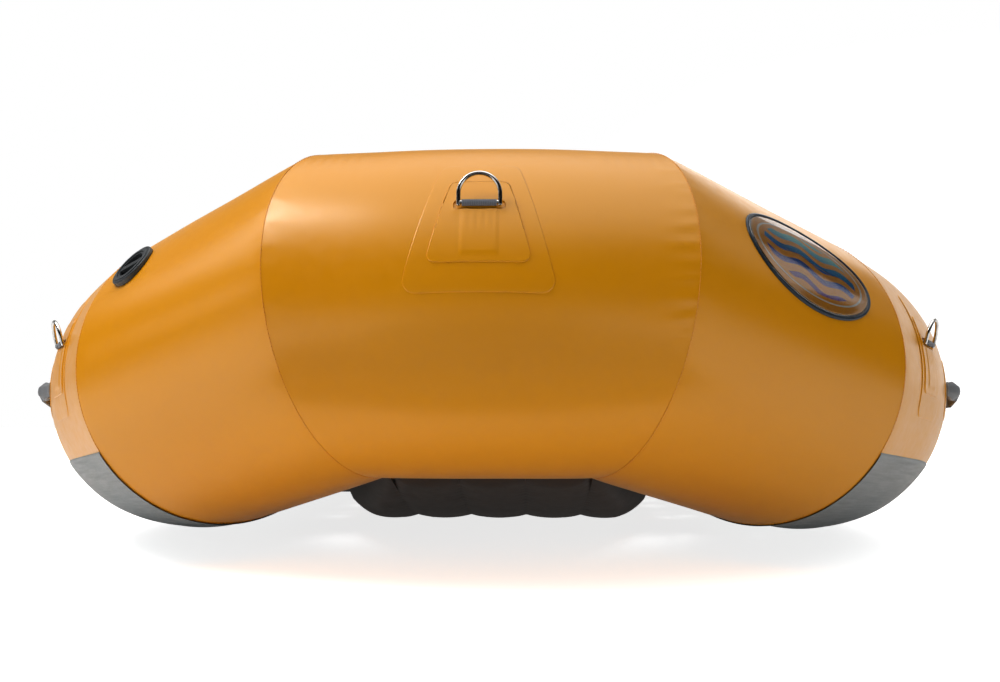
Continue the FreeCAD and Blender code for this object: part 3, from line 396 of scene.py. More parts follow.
def coated_fabric(name, light, deep, rough, thread=0.00002):
    """PVC-coated fabric: a satin skin with the base cloth's weave just showing."""
    m = Maker(name)
    m.set(IOR=1.5, Specular_IOR_Level=0.75)
    broad = m.noise(1.6, 4.0)
    cloth = m.ramp(broad, [(0.35, deep), (0.65, light)])
    streaky = m.noise(9.0, 5.0, m.mapped(m.uv(), (0.35, 3.0, 1)))
    streak = m.between(streaky, 0.45, 0.75, 0.0, 0.03)
    cloth = m.mix(streak, cloth, tuple(c * 0.72 for c in deep))
    fine = m.noise(60.0, 6.0)
    wear = m.between(fine, 0.35, 0.7, rough - 0.02, rough + 0.04)
    threads = weave(m, 0.0024)
    patchy = m.between(m.noise(5.0, 2.0), 0.40, 0.62, 0.35, 1.0)
    normal = m.bump(m.math("MULTIPLY", threads, patchy), thread, 0.6)
    peel = m.noise(95.0, 3.0)
    normal = m.bump(peel, 0.00001, 0.4, normal)
    slack = m.noise(7.0, 2.0)
    normal = m.bump(slack, 0.0006, 0.25, normal)
    return m.finish(cloth, wear, normal)


HULL = coated_fabric("patch_pvc", (0.78, 0.350, 0.002), (0.76, 0.330, 0.002), 0.30)
FLOOR = coated_fabric("floor_pvc", (0.125, 0.100, 0.086), (0.095, 0.076, 0.066), 0.48, thread=0.0001)


def chafe_material():
    m = Maker("chafe_grey")
    m.set(IOR=1.5)
    streak = m.noise(14.0, 6.0, m.mapped(m.uv(), (0.5, 9.0, 1)))
    cloth = m.ramp(streak, [(0.30, (0.22, 0.235, 0.235)), (0.72, (0.33, 0.345, 0.345))])
    scuff = m.noise(48.0, 8.0, m.mapped(m.uv(), (0.3, 1.6, 1)), 0.7)
    cloth = m.mix(m.between(scuff, 0.58, 0.75, 0.0, 0.45), cloth, (0.47, 0.48, 0.47))
    rough = m.between(scuff, 0.3, 0.7, 0.34, 0.52)
    normal = m.bump(weave(m, 0.003), 0.0002, 0.7)
    normal = m.bump(streak, 0.0008, 0.35, normal)
    return m.finish(cloth, rough, normal)


def webbing_material(name, light, dark):
    m = Maker(name)
    m.set(IOR=1.45, Sheen_Weight=0.3, Sheen_Roughness=0.5)
    threads = weave(m, 0.0018)
    ribs = m.wave(m.mapped(m.uv()), wave_rate(0.0032), "Y")
    both = m.math("MULTIPLY", threads, m.between(ribs, 0, 1, 0.5, 1.0))
    cloth = m.ramp(both, [(0.1, dark), (0.8, light)])
    fuzz = m.noise(700.0, 4.0)
    return m.finish(cloth, m.between(fuzz, 0.3, 0.7, 0.72, 0.9), m.bump(both, 0.0005, 1.0))


def moulded(name, light, dark, rough):
    """Moulded plastic or rubber: fine grain, rubbed paler on its edges."""
    m = Maker(name)
    m.set(IOR=1.48)
    speck = m.noise(850.0, 4.0)
    broad = m.noise(22.0, 4.0)
    cloth = m.ramp(broad, [(0.35, dark), (0.68, light)])
    edges = m.add("NewGeometry").outputs["Pointiness"]
    rubbed = m.between(edges, 0.51, 0.58, 0.0, 0.5)
    cloth = m.mix(m.math("MULTIPLY", rubbed, m.between(broad, 0.3, 0.6, 0.3, 1.0)), cloth,
                  tuple(min(1.0, c * 2.4 + 0.03) for c in light))
    return m.finish(cloth, m.between(speck, 0.3, 0.7, rough - 0.06, rough + 0.08), m.bump(speck, 0.00012, 0.7))


def steel(name, rough):
    m = Maker(name)
    m.set(Metallic=1.0)
    fine = m.noise(240.0, 6.0, m.mapped(m.objects(), (1, 1, 4)))
    tint = m.ramp(m.noise(45.0, 4.0), [(0.3, (0.62, 0.60, 0.57)), (0.7, (0.78, 0.77, 0.75))])
    return m.finish(tint, m.between(fine, 0.3, 0.75, rough, rough + 0.16), m.bump(fine, 0.00008, 0.5))


def badge_print():
    """Plain wave bands, teal above and violet below, on a clear ground over the boat's own colour."""
    m = Maker("badge_print")
    m.set(IOR=1.5, Coat_Weight=0.6, Coat_Roughness=0.06)
    parts = m.add("SeparateXYZ")
    m.link(m.uv(), parts.inputs["Vector"])
    across, up = parts.outputs["X"], parts.outputs["Y"]
    swell = m.math("MULTIPLY", m.math("SINE", m.math("MULTIPLY", across, 9.0)), 0.075)
    line = m.math("ADD", up, swell)
    stripes = m.math("SINE", m.math("MULTIPLY", line, 19.0))
    thickness = m.between(up, -0.62, 0.62, 0.35, -0.45)
    band = m.between(m.math("SUBTRACT", stripes, thickness), -0.05, 0.05, 0.0, 1.0)
    inside = m.math("ADD", m.math("POWER", m.math("MULTIPLY", across, 1.18), 2.0),
                    m.math("POWER", m.math("MULTIPLY", up, 1.32), 2.0))
    ink = m.math("MULTIPLY", band, m.between(inside, 0.80, 0.83, 1.0, 0.0))
    line_in = m.between(inside, 1.00, 1.03, 0.0, 1.0)
    line_out = m.between(inside, 1.08, 1.11, 1.0, 0.0)
    border = m.math("MULTIPLY", line_in, line_out)
    colour = m.ramp(m.between(up, -0.7, 0.7, 0.0, 1.0),
                    [(0.10, (0.16, 0.06, 0.30)), (0.38, (0.03, 0.10, 0.42)), (0.62, (0.01, 0.24, 0.50)),
                     (0.85, (0.12, 0.52, 0.52))])
    ground = m.ramp(m.noise(30.0, 3.0), [(0.3, (0.76, 0.33, 0.03)), (0.7, (0.79, 0.37, 0.05))])
    haze = m.noise(240.0, 4.0)
    inked = m.mix(border, m.mix(ink, ground, colour), (0.75, 0.72, 0.66))
    return m.finish(inked, m.between(haze, 0.3, 0.7, 0.16, 0.26), m.bump(ink, 0.0002, 0.5))


def dome_material():
    m = Maker("badge_clear")
    m.set(IOR=1.46, Transmission_Weight=1.0)
    haze = m.noise(160.0, 5.0)
    tint = m.ramp(haze, [(0.3, (0.97, 0.97, 0.96)), (0.7, (1.0, 1.0, 1.0))])
    return m.finish(tint, m.between(haze, 0.35, 0.75, 0.02, 0.09), m.bump(haze, 0.0001, 0.3))


CHAFE = chafe_material()
WEBBING = webbing_material("webbing_grey", (0.27, 0.29, 0.33), (0.09, 0.10, 0.12))
GRIP = moulded("grip_rubber", (0.27, 0.28, 0.29), (0.19, 0.195, 0.205), 0.48)
VALVE = moulded("valve_plastic", (0.060, 0.066, 0.070), (0.036, 0.040, 0.044), 0.36)
RIM = moulded("badge_rim_plastic", (0.030, 0.042, 0.060), (0.018, 0.026, 0.038), 0.26)
GASKET = moulded("gasket_rubber", (0.03, 0.03, 0.03), (0.018, 0.018, 0.018), 0.6)
STEEL = steel("ring_steel", 0.10)
SPRING = steel("spring_steel", 0.28)
PRINT = badge_print()
DOME = dome_material()


# ---- meshes
class Build:
    """Collects grids into one mesh. Each grid is rows x columns x 3."""

    def __init__(self):
        self.points = []
        self.faces = []
        self.uv = []
        self.count = 0

    def grid(self, points, uv, flip=False):
        rows, columns = points.shape[:2]
        index = self.count + np.arange(rows * columns).reshape(rows, columns)
        left, right = index[:, :-1], index[:, 1:]
        quads = stacked(left[:-1], right[:-1], right[1:], left[1:]).reshape(-1, 4)
        if flip:
            quads = quads[:, ::-1]
        self.points.append(points.reshape(-1, 3))
        self.uv.append(uv.reshape(-1, 2))
        self.faces += quads.tolist()
        self.count += rows * columns

    def make(self, name, material, slot, replaces=(), mirror=(1, 1)):
        """The collected grids as one visible piece on the raft, mirrored across and along it."""
        faces = self.faces
        if mirror[0] * mirror[1] < 0:
            faces = [face[::-1] for face in faces]
        mesh = bpy.data.meshes.new(name)
        mesh.from_pydata((np.concatenate(self.points) * [*mirror, 1]).tolist(), [], faces)
        mesh.validate()
        mesh.polygons.foreach_set("use_smooth", [True] * len(mesh.polygons))
        layer = mesh.uv_layers.new(name="UVMap")
        loops = np.zeros(len(mesh.loops), int)
        mesh.loops.foreach_get("vertex_index", loops)
        layer.data.foreach_set("uv", np.concatenate(self.uv)[loops].ravel())
        mesh.materials.append(material)
        piece = bpy.data.objects.new(name, mesh)
        bpy.context.scene.collection.objects.link(piece)
        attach(piece, "raft")
        if replaces:
            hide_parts(*replaces)


def spaced(length, fine, coarse, reach):
    """Places from 0 to 1 along a length, close together near both ends."""
    marks = [0.0]
    while marks[-1] < length / 2:
        marks.append(marks[-1] + (fine if marks[-1] < reach else coarse))
    marks = np.array(marks[:-1])
    places = np.concatenate([marks, length - marks[::-1]]) / length
    return np.unique(np.round(places, 6))


def hull_panel(path, cut0, cut1, brackets, outboard, relief, around=264, coarse=0.016):
    """One welded panel: its skin from seam to seam. relief(s0, s1, angle, s) gives how far it stands out."""
    angle = np.linspace(-math.pi, math.pi, around, endpoint=False)
    ones = np.ones(around)
    start = crossing(path, angle, cut0, *brackets[0], outboard) if cut0 else ones * brackets[0][0]
    stop = crossing(path, angle, cut1, *brackets[1], outboard) if cut1 else ones * brackets[1][0]
    places = spaced(float((stop - start).mean()), 0.004, coarse, 0.09)
    s = start + (stop - start) * places[:, None]
    angles = np.broadcast_to(angle, s.shape)
    out = relief(s - start, stop - s, angles, s)
    points, _normal = on_tube(path, s, angles, TUBE_R + out, outboard)
    uv = stacked(s, angles * TUBE_R)
    points = np.concatenate([points, points[:, :1]], 1)
    last = stacked(uv[:, :1, 0], uv[:, :1, 1] + 2 * math.pi * TUBE_R)
    uv = np.concatenate([uv, last], 1)
    build = Build()
    build.grid(points, uv, True)
    # The cut edge turns in at each end
    for row in (0, -1):
        turned, _n = on_tube(path, s[row], angles[row], TUBE_R + out[row] - 0.0022, outboard)
        turned = np.concatenate([turned, turned[:1]])
        build.grid(np.stack([points[row], turned]), np.stack([uv[row], uv[row]]), row == -1)
    return build


def pinch(distance, depth):
    """The skin drawn in beside a seam."""
    return -depth * np.exp(-distance / 0.016)


def puckers(distance, angle, low, high, count, size, reach, seed):
    """Short creases that run out from a seam, uneven in strength and place."""
    rng = np.random.default_rng(seed)
    total = np.zeros(np.broadcast(distance, angle).shape)
    for centre in np.linspace(low, high, count):
        centre = math.radians(centre + rng.uniform(-1.5, 1.5))
        lean = rng.uniform(-0.25, 0.05)
        strength = size * rng.uniform(0.45, 1.1)
        far = reach * rng.uniform(0.6, 1.3)
        across = (angle - centre) * TUBE_R - lean * distance
        width = 0.0065 + 0.10 * distance
        ridge = np.exp(-(across / width) ** 2) - 0.55 * np.exp(-(across / (2.2 * width)) ** 2)
        total = total + strength * ridge * np.exp(-(distance / far) ** 2) * smooth(distance / 0.004)
    return total


def bow_relief(seed):
    def relief(a, b, angle, s):
        out = pinch(a, 0.0007) + pinch(b, 0.0007)
        out = out + puckers(b, angle, -12, 50, 11, 0.0024, 0.042, seed)
        out = out + puckers(a, angle, -8, 44, 7, 0.0011, 0.026, seed + 1)
        out = out + puckers(a, angle, 120, 250, 9, 0.0015, 0.04, seed + 2)
        out = out + puckers(b, angle + 2 * math.pi * (angle < 0), 120, 250, 9, 0.0016, 0.04, seed + 3)
        top = np.exp(-((angle - math.radians(60)) / 0.16) ** 2)
        out = out + 0.00035 * top * np.sin(s * 2 * math.pi / 0.019 + 2.0 * wander(s, angle, seed, 0.3))
        return out + 0.0004 * wander(s, angle * TUBE_R, seed + 4, 0.22)
    return relief


def angled_relief(seed, rippled):
    def relief(a, b, angle, s):
        out = pinch(a, 0.0017) + pinch(b, 0.0006)
        out = out + puckers(a, angle, -20, 60, 9, 0.0007, 0.03, seed)
        out = out + puckers(b, angle, -30, 60, 8, 0.0006, 0.025, seed + 1)
        away = angle + 2 * math.pi * (angle < 0)
        out = out + puckers(a, away, 110, 250, 9, 0.0012, 0.04, seed + 2)
        if rippled:
            band = np.exp(-((angle - math.radians(6)) / 0.20) ** 2)
            near = smooth(1.15 - b / 0.24)
            phase = s * 2 * math.pi / 0.0135 + 1.5 * wander(s, angle * 0.2, seed, 0.07)
            out = out + 0.00018 * band * near * np.sin(phase)
        return out + 0.0005 * wander(s, angle * TUBE_R, seed + 4, 0.25)
    return relief


def kick_relief(seed):
    def relief(a, b, angle, s):
        out = pinch(a, 0.0014) + pinch(b, 0.0006)
        out = out + puckers(a, angle, -30, 60, 9, 0.0006, 0.025, seed)
        inside = np.exp(-((np.abs(angle) - math.pi) / 0.7) ** 2)
        bend = np.exp(-((s - 0.43) / 0.16) ** 2)
        crease = np.sin(s * 2 * math.pi / 0.052 + 2.5 * wander(s, angle * 0.26, seed, 0.2))
        out = out + 0.0018 * inside * bend * crease
        return out + 0.0005 * wander(s, angle * TUBE_R, seed + 4, 0.25)
    return relief


def side_relief(seed):
    def relief(a, b, angle, s):
        out = pinch(a, 0.0013) + pinch(b, 0.0013)
        return out + 0.0005 * wander(s, angle * TUBE_R, seed, 0.30)
    return relief


LAP_R = 0.0006
LAP_LIFT = 0.0002


def bead(path, cut, bracket, outboard):
    """The lapped edge at a seam: a fine raised line where the cloth's threads end."""
    angle = np.linspace(-math.pi, math.pi, 1601)
    s = crossing(path, angle, cut, *bracket, outboard)
    thread = 0.55 + 0.45 * np.sin(angle * TUBE_R * 2 * math.pi / 0.0062)
    thread = thread + 0.15 * wander(angle * TUBE_R, s, 5, 0.05)
    rows = []
    for turn in np.linspace(0, 2 * math.pi, 7)[:-1]:
        radius = LAP_R * thread
        centre, _n = on_tube(path, s + radius * 1.3 * math.cos(turn), angle,
                             TUBE_R + LAP_LIFT - 0.0004 + radius * math.sin(turn), outboard)
        rows.append(centre)
    points = np.stack(rows + rows[:1])
    return points, stacked(np.arange(7)[:, None] * 0.0008, angle * TUBE_R)


def band(path, s0, s1, outboard):
    """A welded tape along a tube's underside, with soft edges."""
    across = np.array([-1, -0.97, -0.93, -0.8, -0.4, 0, 0.4, 0.8, 0.93, 0.97, 1]) * TAPE_HALF
    lift = np.array([0, 0.6, 0.92, 1, 1, 1, 1, 1, 0.92, 0.6, 0]) * TAPE_T
    s = np.linspace(s0, s1, 60)[:, None] + 0 * across
    angle = TAPE_UNDER + across / TUBE_R + 0 * s
    points, _n = on_tube(path, s, angle, TUBE_R - 0.0006 + lift + 0.0004 + 0 * s, outboard)
    return points, stacked(s, angle * TUBE_R)


BEAD = coated_fabric("lap_edge", (0.82, 0.38, 0.05), (0.78, 0.33, 0.03), 0.32)

BOW_ENDS = ((0.0, SEAM_WITHIN), (BOW_PATH.length - SEAM_WITHIN, BOW_PATH.length))
ANGLED_ENDS = ((0.0, SEAM_WITHIN), (SEAM_WITHIN, ANGLED_PATH.length))
KICK_ENDS = ((0.0, SEAM_WITHIN), (KICK_PATH.length,))

for end, word in FAR_ENDS:
    seed = 10 if end < 0 else 50
    build = hull_panel(BOW_PATH, BOW_SEAM_LEFT, BOW_SEAM, BOW_ENDS, NORTH, bow_relief(seed))
    build.grid(*band(BOW_PATH, 0.14, BOW_PATH.length - 0.14, NORTH), True)
    build.make(f"{word}_centre_skin", HULL, "hull_fabric", (f"{word}_centre_panel",), (1, -end))
    for side, hand in HANDS:
        mirror = (side, -end)
        seed += 3
        relief = angled_relief(seed, side < 0)
        build = hull_panel(ANGLED_PATH, BOW_SEAM, KICK_SEAM, ANGLED_ENDS, OBLIQUE, relief)
        build.make(f"{word}_{hand}_skin", HULL, "hull_fabric", (f"{word}_{hand}_panel",), mirror)
        build = hull_panel(KICK_PATH, KICK_SEAM, None, KICK_ENDS, EAST, kick_relief(seed + 1))
        build.grid(*band(KICK_PATH, 0.21, KICK_PATH.length - 0.01, EAST), True)
        build.make(f"{hand}_{word}_kick_skin", HULL, "hull_fabric", (f"{hand}_{word}_kick_panel",), mirror)
        for kind, path, cut, bracket, outboard in (("bow", BOW_PATH, BOW_SEAM, BOW_ENDS[1], NORTH),
                                                   ("kick", ANGLED_PATH, KICK_SEAM, ANGLED_ENDS[1], OBLIQUE)):
            build = Build()
            build.grid(*bead(path, cut, bracket, outboard), True)
            build.make(f"{word}_{hand}_{kind}_lap", BEAD, "hull_fabric", (), mirror)


def side_tape():
    """The tape round the joint between a side panel and its kick panel."""
    ring = np.linspace(-math.pi, math.pi, 300)
    across = np.array([-1, -0.95, -0.88, 0, 0.88, 0.95, 1]) * TAPE_HALF
    lift = np.array([0.0, 0.6, 1, 1, 1, 0.6, 0.0]) * TAPE_T
    s = (SIDE_PATH.length - 0.0002 + across)[:, None] + 0 * ring
    s_safe = np.clip(s, 0, SIDE_PATH.length)
    points, _n = on_tube(SIDE_PATH, s_safe, ring + 0 * s, TUBE_R - 0.0002 + lift[:, None] + 0 * s, EAST)
    points = points + (s - s_safe)[..., None] * np.array([0.0, 1.0, 0.0])
    build = Build()
    build.grid(points, stacked(s, ring * TUBE_R), True)
    return build


for side, hand in HANDS:
    build = hull_panel(SIDE_PATH, None, None, ((0.0,), (SIDE_PATH.length,)), EAST, side_relief(90 + side),
                       around=220, coarse=0.03)
    build.grid(*band(SIDE_PATH, 0.01, SIDE_PATH.length - 0.01, EAST), True)
    build.make(f"{hand}_side_skin", HULL, "hull_fabric", (f"{hand}_side_panel",), (side, 1))
    for end, word in FAR_ENDS:
        side_tape().make(f"{hand}_{word}_side_tape", HULL, "hull_fabric", (), (side, end))


# ---- sites on the hull
class Site:
    """A place on a tube: its centre, the way along, outward, and the third direction."""

    def __init__(self, path, s, outboard, degrees):
        self.path = path
        self.centre, self.along = [v[0] for v in path.at(np.array([s]))]
        level = unit(outboard - self.along * (outboard @ self.along))
        level = unit(level * [1, 1, 0])
        level = unit(level - self.along * (level @ self.along))
        upright = unit(UP - self.along * self.along[2])
        turn = math.radians(degrees)
        self.outward = level * math.cos(turn) + upright * math.sin(turn)
        self.up = unit(np.cross(self.outward, self.along))
        self.up = self.up * (1 if self.up[2] > 0 else -1)
        self.origin = self.centre + self.outward * TUBE_R
        self.spine = path.points
        self.left_handed = np.cross(self.along, self.up) @ self.outward < 0

    def surface(self, x, y, lift):
        """Points over the tube at x along and y up, as seen along the outward direction."""
        flat = self.origin + x[..., None] * self.along + y[..., None] * self.up
        shape = flat.shape
        flat = flat.reshape(-1, 3)
        target = TUBE_R + np.broadcast_to(lift, x.shape).ravel()
        depth = np.zeros(len(flat))
        spine = self.spine
        for _ in range(7):
            here = flat + depth[:, None] * self.outward
            apart = ((here[:, None, :] - spine[None, ::6, :]) ** 2).sum(-1)
            near = apart.argmin(1) * 6
            near = np.clip(near, 6, len(spine) - 7)
            step = unit(spine[near + 6] - spine[near - 6])
            reach = here - spine[near]
            reach = reach - (reach * step).sum(-1, keepdims=True) * step
            far = np.linalg.norm(reach, axis=1)
            normal = reach / far[:, None]
            depth = depth + (target - far) / np.maximum(0.2, normal @ self.outward)
        return (flat + depth[:, None] * self.outward).reshape(shape)


END_SITE = Site(BOW_PATH, BOW_PATH.length / 2, NORTH, 26.0)
KICK_SITE = Site(KICK_PATH, OVER + 0.130, EAST, 9.5)
MIDDLE_SITE = Site(SIDE_PATH, SIDE_PATH.length / 2, EAST, 9.5)
HANDLE_SITE = Site(KICK_PATH, OVER + 0.372, EAST, 0.0)
# Each ring's site on the bow's right quarter, and how it is mirrored from there
RING_SITES = {
    "bow": (END_SITE, (1, 1)),
    "stern": (END_SITE, (1, -1)),
    "right_front": (KICK_SITE, (1, 1)),
    "left_front": (KICK_SITE, (-1, 1)),
    "right_rear": (KICK_SITE, (1, -1)),
    "left_rear": (KICK_SITE, (-1, -1)),
    "right_middle": (MIDDLE_SITE, (1, 1)),
    "left_middle": (MIDDLE_SITE, (-1, 1)),
}


def trapezoid(halves, low, high, radius):
    """Points round a four-sided patch whose corners are arcs. halves are its half widths, low end first."""
    corners = [(-halves[0], low), (halves[0], low), (halves[1], high), (-halves[1], high)]
    points = []
    count = len(corners)
    corners = [np.array(c, float) for c in corners]
    for i in range(count):
        here = corners[i]
        back = unit(corners[i - 1] - here)
        ahead = unit(corners[(i + 1) % count] - here)
        half = math.acos(float(np.clip(back @ ahead, -1, 1))) / 2
        middle = here + unit(back + ahead) * radius / math.sin(half)
        first = here + back * radius / math.tan(half) - middle
        last = here + ahead * radius / math.tan(half) - middle
        a0 = math.atan2(first[1], first[0])
        a1 = math.atan2(last[1], last[0])
        turn = (a1 - a0 + math.pi) % (2 * math.pi) - math.pi
        for t in np.linspace(0, 1, 7):
            points.append(middle + radius * np.array([math.cos(a0 + turn * t), math.sin(a0 + turn * t)]))
        start = points[-1]
        after = corners[(i + 1) % count]
        onward = unit(corners[(i + 2) % count] - after)
        back2 = unit(here - after)
        half2 = math.acos(float(np.clip(back2 @ onward, -1, 1))) / 2
        stop = after + back2 * radius / math.tan(half2)
        gap = np.linalg.norm(stop - start)
        for t in np.linspace(0, 1, max(3, int(gap / 0.008)))[1:-1]:
            points.append(start + (stop - start) * t)
    return np.array(points)


def outline_at(outline, centre, angles):
    """The outline's distance from a centre in each direction."""
    arms = outline - centre
    bearing = np.arctan2(arms[:, 1], arms[:, 0])
    order = np.argsort(bearing)
    bearing = bearing[order]
    far = np.linalg.norm(arms, axis=1)[order]
    bearing = np.concatenate([bearing - 2 * math.pi, bearing, bearing + 2 * math.pi])
    far = np.concatenate([far, far, far])
    return np.interp(angles, bearing, far)


def denser(outline):
    onward = np.roll(outline, -1, 0) - outline
    return np.concatenate([outline + onward * t for t in (0, 0.25, 0.5, 0.75)])


def patch(site, outline, inner=None, base=0.0, thick=PATCH_T, bulge=None, rows=14):
    """A cut patch laid over the tube, with rounded edges. inner is a slit's outline or None."""
    centre = inner.mean(0) if inner is not None else outline.mean(0)
    dense = denser(outline)
    bearings = np.sort(np.arctan2((dense - centre)[:, 1], (dense - centre)[:, 0]))
    bearings = np.concatenate([bearings, bearings[:1] + 2 * math.pi])
    outer = outline_at(dense, centre, bearings)
    if inner is None:
        low = outer * 0.02
    else:
        low = outline_at(denser(inner), centre, bearings)
    fractions = np.linspace(0, 1, rows)
    far = low + (outer - low) * fractions[:, None]
    lift = np.full(far.shape, thick)
    edge = [(outer - 0.0016, thick), (outer - 0.0006, thick * 0.92),
            (outer, thick * 0.55), (outer + 0.0003, 0.0)]
    far = np.concatenate([far[:-1]] + [e[0][None] for e in edge])
    lift = np.concatenate([lift[:-1]] + [np.full((1, len(outer)), e[1]) for e in edge])
    if inner is not None:
        rim = [(low - 0.0003, 0.0), (low, thick * 0.6), (low + 0.0008, thick)]
        far = np.concatenate([r[0][None] for r in rim] + [far[1:]])
        lift = np.concatenate([np.full((1, len(outer)), r[1]) for r in rim] + [lift[1:]])
    x = centre[0] + far * np.cos(bearings)
    y = centre[1] + far * np.sin(bearings)
    if bulge is not None:
        lift = lift + bulge(x, y) * (lift > thick * 0.5)
    build = Build()
    build.grid(site.surface(x, y, base + lift), stacked(x + 3.0, y), not site.left_handed)
    return build


RING_BASE = {True: (0.112, 0.055), False: (0.072, 0.048)}
RING_COVER = {True: (0.076, 0.042), False: (0.052, 0.042)}
BAR_Y = TUBE_R * math.sin(BAR_UP)


def webbing_bulge(x, y):
    """The cover patch stands proud over the webbing's tail and round the slit."""
    flank = smooth((0.0295 - np.abs(x)) / 0.007)
    tail = smooth((BAR_Y + 0.004 - y) / 0.004) * smooth((y + 0.062) / 0.008)
    lip = np.exp(-(np.maximum(0, np.abs(y - BAR_Y) - 0.008) / 0.007) ** 2)
    lip = lip * np.exp(-(np.maximum(0, np.abs(x) - 0.034) / 0.006) ** 2)
    creases = 0.00022 * np.sin(x * 2 * math.pi / 0.011) * np.exp(-((y + 0.004) / 0.02) ** 2)
    return 0.0011 * flank * tail + 0.0008 * lip + creases * flank


def webbing_loop(site):
    """Webbing folded round the bar, both plies going down into the slit."""
    normal = site.outward * math.cos(BAR_UP) + site.up * math.sin(BAR_UP)
    upward = unit(np.cross(normal, site.along))
    upward = upward * (1 if upward @ site.up > 0 else -1)
    middle = site.centre + normal * (TUBE_R + BAR_HEIGHT)
    bore = WIRE_R + 0.00006
    thick = 0.0011
    profile = []
    for inside in (False, True):
        radius = bore if inside else bore + thick
        half = 0.0002 if inside else 0.0002 + thick
        line = []
        drop = BAR_HEIGHT - PATCH_T - 0.0002
        for t in np.linspace(0, 1, 7):
            line.append((half + (radius - half) * smooth(t) * 0.55, -drop + (drop - radius * 0.80) * t))
        for a in np.linspace(-38, 218, 30):
            line.append((radius * math.cos(math.radians(a)), radius * math.sin(math.radians(a))))
        for t in np.linspace(1, 0, 7):
            line.append((-half - (radius - half) * smooth(t) * 0.55, -drop + (drop - radius * 0.80) * t))
        profile.append(line)
    loop = np.array(profile[0] + profile[1][::-1] + profile[0][:1])
    x = np.linspace(-0.025, 0.025, 41)
    lengths = np.concatenate([[0], np.cumsum(np.linalg.norm(np.diff(loop, axis=0), axis=1))])
    swell = 1 + 0.015 * np.cos(x / 0.0032 * math.pi)
    points = (middle + x[:, None, None] * site.along + (loop[None, :, 0] * swell[:, None])[..., None] * upward
              + loop[None, :, 1][..., None] * normal)
    uv = stacked(lengths, x[:, None])
    build = Build()
    build.grid(points, uv)
    size = len(profile[0])
    for edge in (0, -1):
        cap = np.stack([points[edge, :size], points[edge, size:2 * size][::-1]])
        build.grid(cap, np.stack([uv[edge, :size], uv[edge, size:2 * size][::-1]]), edge == 0)
    return build


SLIT = trapezoid((0.037, 0.037), BAR_Y - 0.008, BAR_Y + 0.008, 0.006)
for name, (site, mirror) in RING_SITES.items():
    on_end = name in ("bow", "stern")
    first = name == "bow"
    base = patch(site, trapezoid(RING_BASE[on_end], -0.110, 0.113, 0.018))
    base.make(f"{name}_base_patch", HULL, "hull_fabric", ("ring_base_patches",) if first else (), mirror)
    cover = patch(site, trapezoid(RING_COVER[on_end], -0.070, 0.070, 0.012), SLIT, PATCH_T, COVER_T,
                  webbing_bulge, rows=40)
    cover.make(f"{name}_cover_patch", HULL, "hull_fabric", ("ring_cover_patches",) if first else (), mirror)
    webs = webbing_loop(site)
    webs.make(f"{name}_ring_webbing", WEBBING, "webbing", ("ring_webbing",) if first else (), mirror)


# ---- handles
HANDLE_TOE = 0.004
HANDLE_TOP = 0.0240


def handle(site):
    """A moulded grip with grooves, a rounded triangle in section, on two sloped feet."""
    foot = np.linspace(-0.108, -0.060, 22)
    x = np.concatenate([foot, np.linspace(-0.0585, 0.0585, 118), np.linspace(0.060, 0.108, 22)])
    size = np.abs(x)
    slope = smooth((0.108 - size) / 0.036)
    top = HANDLE_TOE + (HANDLE_TOP - HANDLE_TOE) * slope ** 0.8
    gap = smooth((0.0605 - size) / 0.010) * 0.0140
    width = 0.0185 * (0.80 + 0.20 * smooth((0.100 - size) / 0.02))
    ribbed = smooth((0.052 - size) / 0.006)
    groove = 0.0006 * ribbed * (0.5 - 0.5 * np.cos(x / 0.0065 * 2 * math.pi))
    loop = np.linspace(0, 2 * math.pi, 41)
    # A triangle with strongly rounded corners, flat side down
    radius = 1.0 / np.maximum.reduce([np.cos(loop - math.radians(a)) for a in (30, 150, 270)])
    radius = np.minimum(radius, 1.20)
    rows = []
    for i in range(len(x)):
        low = gap[i] + 0.0010
        high = top[i] - groove[i]
        half = width[i] - groove[i]
        tall = max(0.0012, high - low)
        y = radius * np.cos(loop) * half * 0.80
        z = (radius * np.sin(loop) + 1.0) / 2.20 * tall + low
        rows.append(stacked(x[i], y, z))
    local = np.stack(rows)
    sink = site.surface(local[..., 0], local[..., 1], np.zeros(local.shape[:2]))
    depth = ((sink - site.origin) * site.outward).sum(-1)
    blend = 1 - smooth(local[..., 2] / 0.012)
    points = (site.origin + local[..., :1] * site.along + local[..., 1:2] * site.up
              + (local[..., 2:3] + (depth * blend)[..., None]) * site.outward)
    middles = points.mean(1)
    uv = stacked(x[:, None], loop * 0.012)
    build = Build()
    build.grid(points, uv, not site.left_handed)
    for edge in (0, -1):
        cap = np.stack([points[edge], np.broadcast_to(middles[edge], points[edge].shape)])
        build.grid(cap, np.stack([uv[edge], uv[edge]]), (edge == 0) == site.left_handed)
    return build


for side, hand in HANDS:
    for end, word in QUARTERS:
        first = (hand, word) == ("left", "front")
        name = f"{hand}_{word}_handle"
        mirror = (side, -end)
        handle(HANDLE_SITE).make(name, GRIP, "grey_rubber", ("carry_handles",) if first else (), mirror)
        pad = patch(HANDLE_SITE, trapezoid((0.140, 0.140), -0.055, 0.055, 0.030))
        pad.make(f"{name}_patch", HULL, "hull_fabric", ("handle_patches",) if first else (), mirror)


